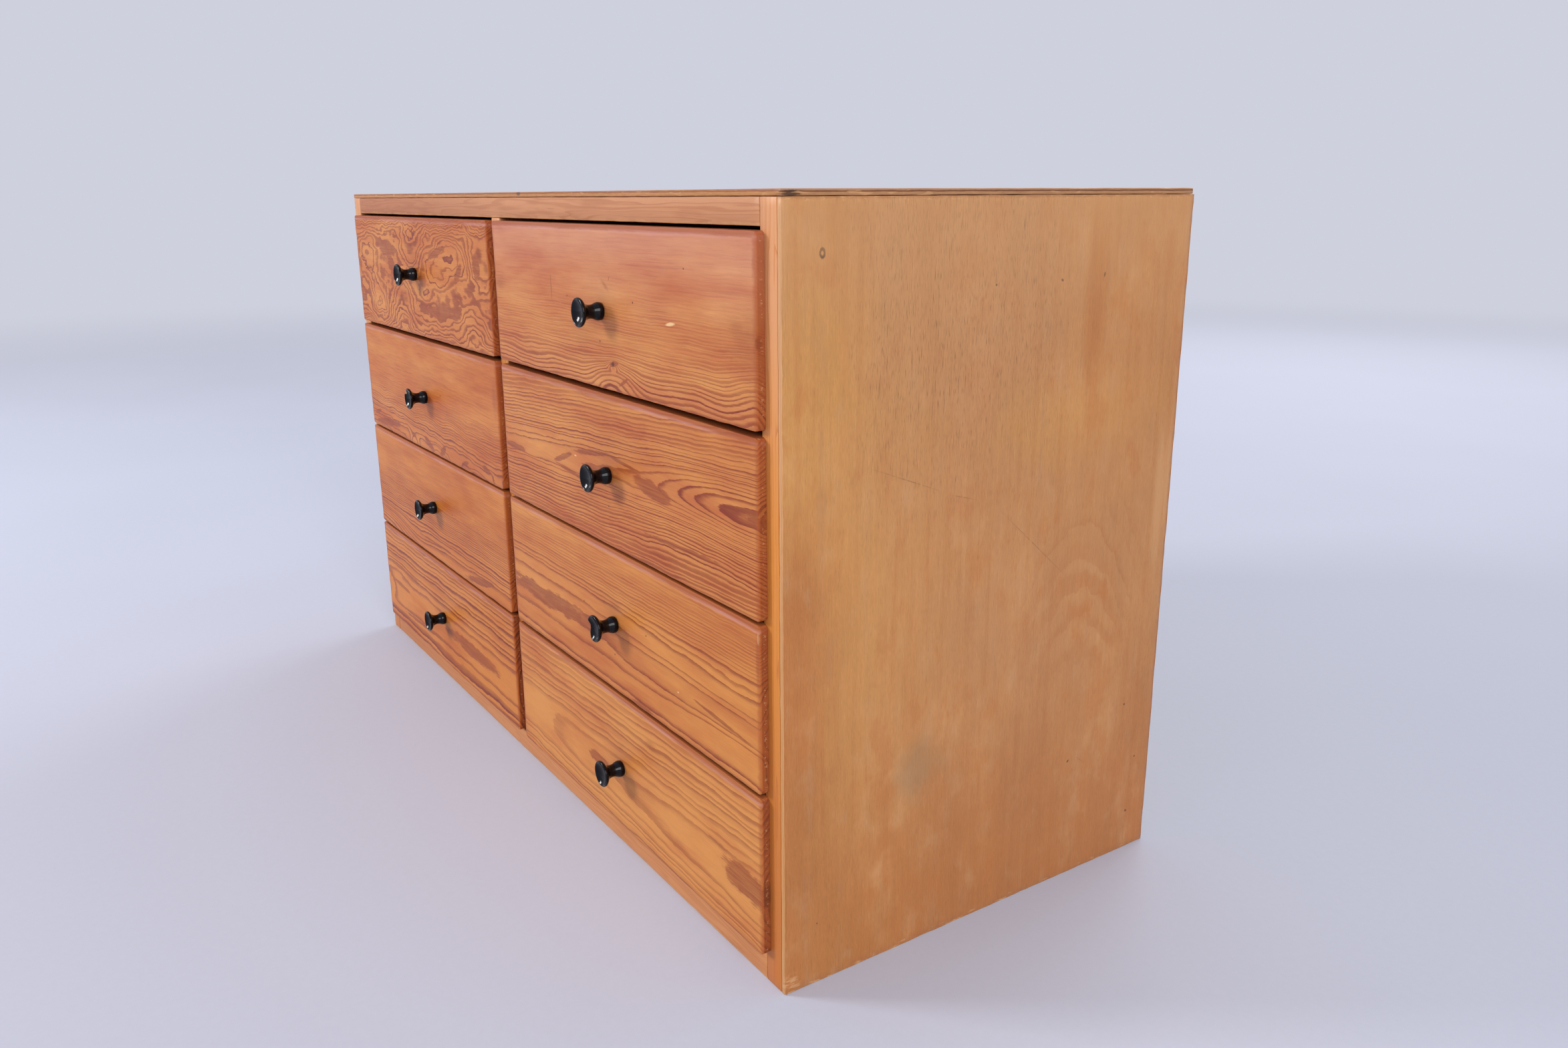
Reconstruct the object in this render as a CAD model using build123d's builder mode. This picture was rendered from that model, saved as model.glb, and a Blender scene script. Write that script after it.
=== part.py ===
"""Tabletop drawer unit: eight drawers in two columns inside a pine frame clad in thin plywood.

Millimetres, +Z up, front towards -Y. The origin is the centre of the footprint, on the surface
that the unit stands on. Every drawer slides out towards -Y.
"""

import os

from build123d import *

# Carcass: plywood panels on a softwood frame
ply_thickness = 4.0
stile_width = 17.0
stile_depth = 30.0
top_rail_height = 16.0
bottom_rail_height = 20.0
post_depth = 17.0
divider_thickness = 17.0
top_corner_radius = 3.0

# The two bays between the stiles and the centre divider
bay_width = 389.5

# Drawer fronts, all of one size; the gaps above the rows differ a little
front_height = 112.0
gaps_above = (2.0, 3.5, 2.0, 2.5)
bottom_front_clearance = 2.0
front_lip_thickness = 6.0
front_plug_depth = 12.0
outer_lip_overlap = 4.5
inner_lip_overlap = 1.5
front_corner_radius = 4.5
front_edge_radius = 3.0

# Drawer boxes
side_thickness = 10.0
side_length = 311.0
side_seat_in_front = 4.0
side_bottom_above_front_bottom = 3.3
space_over_sides = 3.0
side_to_bay_clearance = 1.5
back_thickness = 8.0
back_top_below_side_top = 3.0
drawer_bottom_thickness = 3.0
groove_above_side_bottom = 6.0
groove_depth_in_side = 4.0
groove_depth_in_front = 5.0
groove_clearance = 0.1
drawer_rear_clearance = 7.0

# Runners that the drawer sides slide on
runner_height = 12.0
runner_cover_under_side = 8.5
running_clearance = 0.3

# Turned knobs, held by a glued tenon
knob_projection = 18.0
knob_face_radius = 10.2
knob_rim_thickness = 2.6
knob_neck_radius = 9.7
knob_dish_rim_radius = 9.2
knob_dish_depth = 3.4
knob_waist_radius = 4.8
knob_waist_distance = 9.2
knob_base_radius = 6.4
knob_foot_radius = 6.0
knob_base_length = 4.0
# How high the knobs sit above the lower edge of their fronts, from the top row down
knob_heights = {"left": (59.0, 55.0, 56.0, 51.5), "right": (54.0, 53.3, 54.0, 51.2)}
tenon_radius = 4.0
tenon_length = 13.0
tenon_clearance = 0.05
tenon_end_space = 1.0

# Pins that hold the top and the back to the frame
pin_head_radius = 1.4
pin_head_thickness = 0.8
pin_shank_radius = 0.7
pin_length = 14.0
pin_hole_clearance = 0.02
pins_per_rear_rail = 6
pins_per_upright = 4
pins_per_top_edge = 5
back_pin_end_distance = 45.0
top_pin_end_distance = 25.0

# Places that follow from the sizes
carcass_height = (
    bottom_rail_height
    + bottom_front_clearance
    + front_height * len(gaps_above)
    + sum(gaps_above)
    + top_rail_height
)
carcass_width = 2 * (ply_thickness + stile_width + bay_width) + divider_thickness
carcass_depth = (
    side_seat_in_front + side_length + drawer_rear_clearance + post_depth + ply_thickness
)
front_y = (front_lip_thickness + knob_projection - carcass_depth) / 2
back_y = front_y + carcass_depth
frame_back_y = back_y - ply_thickness
post_front_y = frame_back_y - post_depth
drawer_rear_y = post_front_y - drawer_rear_clearance
side_front_y = front_y + side_seat_in_front
plug_back_y = front_y + front_plug_depth
panel_inner_x = carcass_width / 2 - ply_thickness
stile_inner_x = panel_inner_x - stile_width
stile_centre_x = panel_inner_x - stile_width / 2
divider_face_x = divider_thickness / 2
rail_length = 2 * stile_inner_x
top_rail_z = carcass_height - top_rail_height
bay_centre_x = (divider_face_x + stile_inner_x) / 2
plug_width = bay_width - 2 * side_to_bay_clearance
box_inner_width = plug_width - 2 * side_thickness
lip_inner_x = divider_face_x - inner_lip_overlap
lip_outer_x = stile_inner_x + outer_lip_overlap
lip_width = lip_outer_x - lip_inner_x
lip_centre_x = (lip_inner_x + lip_outer_x) / 2

front_plane = Plane.XZ.offset(-front_y)
face_plane = front_plane.offset(front_lip_thickness)

# Runners reach from just under a drawer's sides to below the bottom edge of its front
runner_top_above_front_bottom = side_bottom_above_front_bottom - running_clearance
runner_bottom_above_front_bottom = runner_top_above_front_bottom - runner_height

# The bottom edge of each row's drawer fronts
front_bottoms = []
next_top = top_rail_z
for gap_above in gaps_above:
    next_top = next_top - gap_above - front_height
    front_bottoms.append(next_top)

sides_of_unit = (("left", -1), ("right", 1))


def save(built, name):
    """Labels a finished piece and writes it under its name."""
    built.part.label = name
    export_step(built.part, f"parts/{name}.step")


def spread(first, last, count):
    """Evenly spaced places from the first to the last."""
    return [first + (last - first) * index / (count - 1) for index in range(count)]


os.makedirs("parts", exist_ok=True)

# Each pin is a long shank and a short head. They stand along the rear rails, the posts and the
# divider, and along the front and the rear of the top
pin_steps = ((pin_shank_radius, pin_length), (pin_head_radius, pin_head_thickness))
rear_pin_reach = stile_inner_x - back_pin_end_distance
rear_rail_pins = [
    (x, z)
    for x in spread(-rear_pin_reach, rear_pin_reach, pins_per_rear_rail)
    for z in (bottom_rail_height / 2, carcass_height - top_rail_height / 2)
]
upright_pins = [
    (x, z)
    for x in (-stile_centre_x, 0, stile_centre_x)
    for z in spread(
        bottom_rail_height + back_pin_end_distance,
        top_rail_z - back_pin_end_distance,
        pins_per_upright,
    )
]
back_pins = rear_rail_pins + upright_pins
top_pin_reach = stile_inner_x - top_pin_end_distance
top_pins = [
    (x, y)
    for x in spread(-top_pin_reach, top_pin_reach, pins_per_top_edge)
    for y in (front_y + stile_depth / 2, frame_back_y - post_depth / 2)
]
back_face = Plane.XZ.offset(-back_y)
top_face = Plane.XY.offset(carcass_height + ply_thickness)


def drill_back():
    """Clears the holes of the back's pins out of the piece that is being built."""
    for radius, depth in pin_steps:
        with BuildSketch(back_face) as holes:
            with Locations(*back_pins):
                Circle(radius + pin_hole_clearance)
        extrude(holes.sketch, amount=depth, mode=Mode.SUBTRACT)


def drill_top():
    """Clears the holes of the top's pins out of the piece that is being built."""
    for radius, depth in pin_steps:
        with BuildSketch(top_face) as holes:
            with Locations(*top_pins):
                Circle(radius + pin_hole_clearance)
        extrude(holes.sketch, amount=-depth, mode=Mode.SUBTRACT)


# Top panel, laid over the whole carcass
with BuildPart() as top_panel:
    with BuildSketch(Plane.XY.offset(carcass_height)):
        with Locations((0, (front_y + back_y) / 2)):
            Rectangle(carcass_width, carcass_depth)
    extrude(amount=ply_thickness)
    fillet(top_panel.edges().filter_by(Axis.Z).group_by(Axis.Y)[-1], top_corner_radius)
    drill_top()
save(top_panel, "top_panel")

# Side panels
for side_name, sign in sides_of_unit:
    with BuildPart() as side_panel:
        with BuildSketch(Plane.XY):
            with Locations((sign * (panel_inner_x + ply_thickness / 2), (front_y + back_y) / 2)):
                Rectangle(ply_thickness, carcass_depth)
        extrude(amount=carcass_height)
    save(side_panel, f"side_panel_{side_name}")

# Back panel, between the side panels
with BuildPart() as back_panel:
    with BuildSketch(Plane.XY):
        with Locations((0, back_y - ply_thickness / 2)):
            Rectangle(2 * panel_inner_x, ply_thickness)
    extrude(amount=carcass_height)
    drill_back()
save(back_panel, "back_panel")

# Front stiles
with BuildPart() as front_stiles:
    with BuildSketch(Plane.XY):
        with Locations(*[(sign * stile_centre_x, front_y + stile_depth / 2) for sign in (-1, 1)]):
            Rectangle(stile_width, stile_depth)
    extrude(amount=carcass_height)
save(front_stiles, "front_stiles")

# Top rail, between the stiles
with BuildPart() as top_rail:
    with BuildSketch(Plane.XY.offset(top_rail_z)):
        with Locations((0, front_y + stile_depth / 2)):
            Rectangle(rail_length, stile_depth)
    extrude(amount=top_rail_height)
    drill_top()
save(top_rail, "top_rail")

# Bottom rail, between the stiles
with BuildPart() as bottom_rail:
    with BuildSketch(Plane.XY):
        with Locations((0, front_y + stile_depth / 2)):
            Rectangle(rail_length, stile_depth)
    extrude(amount=bottom_rail_height)
save(bottom_rail, "bottom_rail")

# Centre divider, standing between the front and rear rails
with BuildPart() as centre_divider:
    with BuildSketch(Plane.XY.offset(bottom_rail_height)):
        with Locations((0, (front_y + frame_back_y) / 2)):
            Rectangle(divider_thickness, frame_back_y - front_y)
    extrude(amount=top_rail_z - bottom_rail_height)
    drill_back()
save(centre_divider, "centre_divider")

# Rear posts
with BuildPart() as rear_posts:
    with BuildSketch(Plane.XY):
        with Locations(*[(sign * stile_centre_x, frame_back_y - post_depth / 2) for sign in (-1, 1)]):
            Rectangle(stile_width, post_depth)
    extrude(amount=carcass_height)
    drill_back()
save(rear_posts, "rear_posts")

# Rear rails, at the top and the bottom between the posts
with BuildPart() as rear_rails:
    for rail_z, rail_height in ((0, bottom_rail_height), (top_rail_z, top_rail_height)):
        with BuildSketch(Plane.XY.offset(rail_z)):
            with Locations((0, frame_back_y - post_depth / 2)):
                Rectangle(rail_length, post_depth)
        extrude(amount=rail_height)
    drill_back()
    drill_top()
save(rear_rails, "rear_rails")

# Runners between the stiles and the posts: wide ones on the side panels, narrow on the divider
runner_front_y = front_y + stile_depth
under_side = side_to_bay_clearance + runner_cover_under_side
with BuildPart() as drawer_runners:
    for front_bottom in front_bottoms:
        for sign in (-1, 1):
            for near_x, far_x in (
                (divider_face_x, divider_face_x + under_side),
                (stile_inner_x - under_side, panel_inner_x),
            ):
                with BuildSketch(Plane.XY.offset(front_bottom + runner_bottom_above_front_bottom)):
                    with Locations((sign * (near_x + far_x) / 2, (runner_front_y + post_front_y) / 2)):
                        Rectangle(far_x - near_x, post_front_y - runner_front_y)
                extrude(amount=runner_height)
save(drawer_runners, "drawer_runners")

# Panel pins, driven flush
with BuildPart() as panel_pins:
    for radius, depth in pin_steps:
        with BuildSketch(back_face):
            with Locations(*back_pins):
                Circle(radius)
        extrude(amount=depth)
        with BuildSketch(top_face):
            with Locations(*top_pins):
                Circle(radius)
        extrude(amount=-depth)
save(panel_pins, "panel_pins")

# The drawers, row by row from the top, in the left and the right column
for column, sign in sides_of_unit:
    for row, front_bottom in enumerate(front_bottoms, start=1):
        drawer = f"drawer_{column}_{row}"
        front_centre_z = front_bottom + front_height / 2
        side_bottom = front_bottom + side_bottom_above_front_bottom
        next_front_bottom = front_bottom + front_height + gaps_above[row - 1]
        side_top = next_front_bottom + runner_bottom_above_front_bottom - space_over_sides
        groove_bottom = side_bottom + groove_above_side_bottom
        groove_height = drawer_bottom_thickness + 2 * groove_clearance
        box_centre_x = sign * bay_centre_x
        side_offset_x = (box_inner_width + side_thickness) / 2
        side_centre_y = side_front_y + side_length / 2
        knob_x = sign * lip_centre_x
        knob_z = front_bottom + knob_heights[column][row - 1]

        # Front board: a lip that covers the stile and the divider, and a plug inside the bay
        with BuildPart() as front:
            with BuildSketch(front_plane):
                with Locations((sign * lip_centre_x, front_centre_z)):
                    RectangleRounded(lip_width, front_height, front_corner_radius)
            extrude(amount=front_lip_thickness)
            fillet(front.faces().sort_by(Axis.Y)[0].edges(), front_edge_radius)
            with BuildSketch(front_plane):
                with Locations((box_centre_x, front_centre_z)):
                    Rectangle(plug_width, front_height)
            extrude(amount=-front_plug_depth)
            with BuildSketch(front_plane.offset(-side_seat_in_front)):
                with Locations(
                    (box_centre_x - side_offset_x, front_centre_z),
                    (box_centre_x + side_offset_x, front_centre_z),
                ):
                    Rectangle(side_thickness, front_height)
            extrude(amount=side_seat_in_front - front_plug_depth, mode=Mode.SUBTRACT)
            with BuildSketch(front_plane.offset(-front_plug_depth)):
                with Locations((box_centre_x, groove_bottom + groove_height / 2)):
                    Rectangle(box_inner_width, groove_height)
            extrude(amount=groove_depth_in_front, mode=Mode.SUBTRACT)
            with BuildSketch(face_plane):
                with Locations((knob_x, knob_z)):
                    Circle(tenon_radius + tenon_clearance)
            extrude(amount=-tenon_length - tenon_end_space, mode=Mode.SUBTRACT)
        save(front, f"{drawer}_front")

        # Sides, rebated into the front and grooved for the bottom
        for side_name, side_sign in sides_of_unit:
            with BuildPart() as box_side:
                with BuildSketch(Plane.XY.offset(side_bottom)):
                    with Locations((box_centre_x + side_sign * side_offset_x, side_centre_y)):
                        Rectangle(side_thickness, side_length)
                extrude(amount=side_top - side_bottom)
                with BuildSketch(Plane.XY.offset(groove_bottom)):
                    with Locations((box_centre_x, side_centre_y)):
                        Rectangle(box_inner_width + 2 * groove_depth_in_side, side_length)
                extrude(amount=groove_height, mode=Mode.SUBTRACT)
            save(box_side, f"{drawer}_side_{side_name}")

        # Back, between the sides and over the bottom
        back_bottom = groove_bottom + groove_clearance + drawer_bottom_thickness
        with BuildPart() as box_back:
            with BuildSketch(Plane.XY.offset(back_bottom)):
                with Locations((box_centre_x, drawer_rear_y - back_thickness / 2)):
                    Rectangle(box_inner_width, back_thickness)
            extrude(amount=side_top - back_top_below_side_top - back_bottom)
        save(box_back, f"{drawer}_back")

        # Bottom, in the grooves of the front and the sides
        bottom_front_y = plug_back_y - groove_depth_in_front + groove_clearance
        bottom_width = box_inner_width + 2 * (groove_depth_in_side - groove_clearance)
        with BuildPart() as box_bottom:
            with BuildSketch(Plane.XY.offset(groove_bottom + groove_clearance)):
                with Locations((box_centre_x, (bottom_front_y + drawer_rear_y) / 2)):
                    Rectangle(bottom_width, drawer_rear_y - bottom_front_y)
            extrude(amount=drawer_bottom_thickness)
        save(box_bottom, f"{drawer}_bottom")

        # Knob: dished face, waist, base and tenon, turned about one axis
        knob_origin = Vector(knob_x, front_y - front_lip_thickness, knob_z)
        knob_plane = Plane(origin=knob_origin, x_dir=(0, -1, 0), z_dir=(1, 0, 0))
        rim_back = knob_projection - knob_rim_thickness
        dish_radius = (knob_dish_rim_radius**2 + knob_dish_depth**2) / (2 * knob_dish_depth)
        dish_centre = knob_origin - Vector(0, knob_projection - knob_dish_depth + dish_radius, 0)
        with BuildPart() as knob:
            with BuildSketch(knob_plane):
                with BuildLine():
                    Polyline((-tenon_length, 0), (-tenon_length, tenon_radius), (0, tenon_radius))
                    Line((0, tenon_radius), (0, knob_foot_radius))
                    ThreePointArc(
                        (0, knob_foot_radius),
                        (knob_base_length / 2, knob_base_radius),
                        (knob_base_length, knob_foot_radius),
                    )
                    ThreePointArc(
                        (knob_base_length, knob_foot_radius),
                        (knob_waist_distance, knob_waist_radius),
                        (rim_back, knob_neck_radius),
                    )
                    ThreePointArc(
                        (rim_back, knob_neck_radius),
                        (knob_projection - knob_rim_thickness / 2, knob_face_radius),
                        (knob_projection, knob_dish_rim_radius),
                    )
                    Polyline(
                        (knob_projection, knob_dish_rim_radius), (knob_projection, 0), (-tenon_length, 0)
                    )
                make_face()
            revolve(axis=Axis(knob_origin, (0, -1, 0)))
            with Locations(dish_centre):
                Sphere(dish_radius, mode=Mode.SUBTRACT)
        save(knob, f"{drawer}_knob")
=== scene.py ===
"""Drawer unit of plywood and pine: eight lipped drawers with turned black knobs.

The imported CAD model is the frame. This script models the pieces that show anew, to
the frame's sizes, gives every surface its finish and sets the stage. Sizes in the
settings are in metres; places in the finishes are in millimetres on the board.
"""

import math
from functools import reduce
from typing import NamedTuple

import bmesh
import bpy
from bpy.props import FloatProperty, FloatVectorProperty, PointerProperty
from mathutils import Matrix, Vector, noise


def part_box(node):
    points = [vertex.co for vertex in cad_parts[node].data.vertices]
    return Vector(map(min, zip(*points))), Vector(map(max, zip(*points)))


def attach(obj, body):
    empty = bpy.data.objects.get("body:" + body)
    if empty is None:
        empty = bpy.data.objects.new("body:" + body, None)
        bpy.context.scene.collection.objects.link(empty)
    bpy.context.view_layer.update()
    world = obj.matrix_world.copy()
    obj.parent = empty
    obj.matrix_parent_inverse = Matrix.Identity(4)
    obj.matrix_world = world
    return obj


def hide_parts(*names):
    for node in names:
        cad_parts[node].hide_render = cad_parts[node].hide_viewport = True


bl_info = {
    "name": "Drawer Unit",
    "version": (1, 0, 0),
    "blender": (4, 5, 0),
    "location": "View3D > Sidebar > Drawer Unit",
    "description": "Models and finishes a plywood unit with eight pine drawers",
    "category": "Object",
}

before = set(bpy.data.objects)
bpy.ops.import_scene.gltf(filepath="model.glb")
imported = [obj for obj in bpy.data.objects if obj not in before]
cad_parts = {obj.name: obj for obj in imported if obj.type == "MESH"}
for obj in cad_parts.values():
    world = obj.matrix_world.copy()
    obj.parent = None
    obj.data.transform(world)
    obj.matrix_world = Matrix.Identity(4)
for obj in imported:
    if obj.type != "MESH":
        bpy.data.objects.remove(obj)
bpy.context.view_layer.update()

MM = 0.001
COLUMNS = ("left", "right")
ROWS = (1, 2, 3, 4)
DRAWERS = [f"{column}_{row}" for column in COLUMNS for row in ROWS]

# Sizes of a knob that KNOB_PROFILE is drawn for, in metres
FACE_RADIUS = 0.0102
WAIST_RADIUS = 0.0048
DISH_DEPTH = 0.0034


# ------------------------------------------------------------------ settings


def number(name, description, default, unit="NONE"):
    """A value of another kind, such as an angle or the power of a lamp."""
    return FloatProperty(name=name, description=description, default=default, unit=unit)


def length(name, description, default):
    """A size of the object, in metres."""
    return FloatProperty(
        name=name, description=description, default=default, unit="LENGTH", min=0.0
    )


def colour(name, description, *looks):
    """A colour given as it looks on a screen, from 0 to 255, and kept as light for mixing."""
    shares = [level / 255 for level in looks]
    light = [c / 12.92 if c <= 0.04045 else ((c + 0.055) / 1.055) ** 2.4 for c in shares]
    return FloatVectorProperty(
        name=name,
        description=description,
        default=light,
        subtype="COLOR",
        size=3,
        min=0.0,
        max=1.0,
    )


class FrontSettings(bpy.types.PropertyGroup):
    """Sizes and colours of the eight drawer fronts."""

    corner_radius: length("Corner radius", "Round of the lip's four corners", 0.0045)
    arris_radius: length("Arris radius", "Round of the lip's front edges", 0.003)
    wear_depth: length("Wear", "Most that handling has taken off the arrises", 0.0006)
    early_wood: colour("Early wood", "Light part of each growth ring", 213, 146, 80)
    early_wood_red: colour("Reddish wood", "Light wood where it has darkened", 186, 104, 60)
    late_wood: colour("Late wood", "Dark part of each growth ring", 142, 62, 28)
    late_wood_purple: colour("Purple late wood", "Darkest late wood", 132, 55, 35)
    # Edge: old wax, and painted shade on the ends and the rounded top edges of the fronts
    edge: colour("Edge", "Old wax on the edges", 158, 80, 44)
    # Painted sheen: lilac-grey highlight along the upper arrises, and a milky sheen over an upper
    # part
    painted_sheen: colour("Bloom", "Rubbed, lilac-grey wax along the upper edges", 204, 146, 136)
    # Deep orange: the tone of the darkest boards, and painted shade, strongest on the left
    # column's fronts
    deep_orange: colour("Deep orange", "Tone of the darkest boards", 240, 214, 168)
    # Grime is also the painted shade on the top and bottom faces of the fronts, in the gaps
    grime: colour("Grime", "Dirt in the holes and along the edges", 84, 44, 32)
    scratch: colour("Scratch", "Bottom of a scratch", 140, 84, 40)
    bare_wood: colour("Bare wood", "Wood where a knock has taken the surface off", 236, 196, 142)


class KnobSettings(bpy.types.PropertyGroup):
    """Sizes and colours of the turned knobs."""

    face_radius: length("Face radius", "Radius of the knob's rim", FACE_RADIUS)
    waist_radius: length("Waist radius", "Radius at the thinnest place", WAIST_RADIUS)
    dish_depth: length("Dish", "Depth of the hollow in the face", DISH_DEPTH)
    lacquer: colour("Lacquer", "Black lacquer", 9, 9, 13)
    patches: colour("Rubbed lacquer", "Lacquer that hands have dulled", 34, 30, 30)
    bare_wood: colour("Bare wood", "Wood where the lacquer has chipped off", 178, 140, 104)


class PlywoodSettings(bpy.types.PropertyGroup):
    """Sizes and colours of the plywood panels."""

    edge_radius: length("Edge radius", "Worn round of the panels' edges", 0.0005)
    wear_depth: length("Wear", "Most that knocks have taken off the edges", 0.0006)
    veneer: colour("Veneer", "Varnished face veneer", 187, 131, 82)
    veneer_golden: colour("Golden veneer", "Yellower veneer towards the front", 200, 143, 80)
    veneer_red: colour("Reddish veneer", "Redder parts of the veneer", 174, 108, 58)
    veneer_pale: colour("Pale veneer", "Worn and pale places", 206, 156, 108)
    # Greyish veneer is also the tint of the painted sheen on the upper front of the side panels
    veneer_grey: colour("Greyish veneer", "Dusty, greyer places", 178, 129, 91)
    edge_pale: colour("Edge layers", "Pale layers on the cut edges", 213, 160, 112)
    core: colour("Core", "Dark glue lines on the cut edges", 150, 92, 58)
    stain: colour("Stain", "Dark stains and old dirt", 62, 44, 38)
    smudge: colour("Smudge", "Grey smudge on the right side", 146, 122, 90)
    worn_layer: colour("Worn layer", "Pale layers of the top's right edge", 168, 124, 88)
    dirty_layer: colour("Dirty layer", "Dark layer of the top's right edge", 104, 66, 46)
    lowest_layer: colour("Lowest layer", "Underside of the top's right edge", 122, 80, 54)


class StickSettings(bpy.types.PropertyGroup):
    """Sizes and colours of the stiles, the divider and the rails."""

    edge_radius: length("Edge radius", "Eased edges of the planed sticks", 0.0008)
    wear_depth: length("Wear", "Most that knocks have taken off the edges", 0.0004)
    stile: colour("Stile", "Varnished upright sticks", 213, 136, 60)
    stile_pale: colour("Pale stile", "Upper ends of the upright sticks", 216, 156, 114)
    stile_line: colour("Stile grain", "Dark grain of the uprights", 180, 100, 48)
    rail: colour("Rail", "Varnished rails", 199, 139, 99)
    rail_line: colour("Rail grain", "Dark grain of the rails", 158, 90, 58)
    rail_worn: colour("Worn rail", "Rubbed, pale places", 222, 172, 122)


class InsideSettings(bpy.types.PropertyGroup):
    """Colours of the drawer boxes and of the back."""

    box_wood: colour("Box wood", "Bare planed softwood of the drawer boxes", 206, 168, 122)
    box_line: colour("Box grain", "Grain of the bare softwood", 172, 124, 80)
    bare_ply: colour("Bare plywood", "Unvarnished plywood of back and bottoms", 200, 168, 126)
    steel: colour("Steel", "Heads of the panel pins", 120, 116, 112)
    rust: colour("Rust", "Brown specks on the pins", 92, 58, 38)


class StageSettings(bpy.types.PropertyGroup):
    """Floor, background, lamps and camera."""

    floor: colour("Floor", "Pale floor", 198, 202, 221)
    background: colour("Background", "Pale background", 206, 208, 222)
    key_power: number("Key lamp", "Lamp at the front left", 90, "POWER")
    fill_power: number("Fill lamp", "Lamp at the right", 79, "POWER")
    rear_power: number("Rear lamp", "Lamp behind", 50, "POWER")
    sky: number("Sky", "Strength of the even light from all sides", 0.52)
    lens: number("Lens", "Focal length", 27.308, "CAMERA")
    camera_place: FloatVectorProperty(
        name="Camera",
        description="Place of the camera",
        default=(0.9639, -0.5256, 0.4962),
        unit="LENGTH",
    )
    camera_turn: number("Camera turn", "Turn to the left", math.radians(56.027), "ROTATION")
    camera_tilt: number("Camera tilt", "Look down", math.radians(15.434), "ROTATION")
    camera_roll: number("Camera roll", "Lean of the camera", math.radians(-0.303), "ROTATION")


SETTINGS = {
    "unit_fronts": FrontSettings,
    "unit_knobs": KnobSettings,
    "unit_plywood": PlywoodSettings,
    "unit_sticks": StickSettings,
    "unit_inside": InsideSettings,
    "unit_stage": StageSettings,
}


# ------------------------------------------------------------- finish recipes


class Wire:
    """One output of a node. Sums written with it add Math nodes."""

    def __init__(self, nodes, socket):
        self.nodes = nodes
        self.socket = socket

    def maths(self, operation, *others):
        return self.nodes.node("Math", {"operation": operation}, (self, *others))

    def __add__(self, other):
        return self.maths("ADD", other)

    def __sub__(self, other):
        return self.maths("SUBTRACT", other)

    def __mul__(self, other):
        return self.maths("MULTIPLY", other)

    def __truediv__(self, other):
        return self.maths("DIVIDE", other)

    def __pow__(self, other):
        return self.maths("POWER", other)

    def __rsub__(self, other):
        return self.nodes.node("Math", {"operation": "SUBTRACT"}, (other, self))

    __radd__ = __add__
    __rmul__ = __mul__

    def smaller(self, other):
        return self.maths("MINIMUM", other)

    def larger(self, other):
        return self.maths("MAXIMUM", other)


class Nodes:
    """The nodes of a finish or of the background."""

    def __init__(self, tree):
        self.tree = tree
        tree.nodes.clear()

    def node(self, kind, settings=None, inputs=(), output=0):
        """Adds one node: its settings first, then the values or links of its sockets."""
        made = self.tree.nodes.new("ShaderNode" + kind)
        for setting, value in (settings or {}).items():
            if setting == "stops":
                self.set_stops(made.color_ramp, value)
            else:
                setattr(made, setting, value)
        pairs = inputs.items() if isinstance(inputs, dict) else enumerate(inputs)
        for socket, value in pairs:
            if isinstance(value, Wire):
                self.tree.links.new(value.socket, made.inputs[socket])
            else:
                made.inputs[socket].default_value = value
        return Wire(self, made.outputs[output]) if made.outputs else None

    @staticmethod
    def set_stops(ramp, stops):
        """Stops are (place from 0 to 1, grey level)."""
        ramp.interpolation = "B_SPLINE"
        while len(ramp.elements) < len(stops):
            ramp.elements.new(0.5)
        for element, (place, grey) in zip(ramp.elements, stops):
            element.position = place
            element.color = (grey, grey, grey, 1)

    def in_sight(self):
        """1 for what the camera or a gloss sees, 0 for the light that other surfaces gather."""
        rays = self.node("LightPath").socket.node.outputs
        kinds = ("Camera", "Glossy", "Transmission")
        return reduce(Wire.larger, [Wire(self, rays[f"Is {kind} Ray"]) for kind in kinds])


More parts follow.
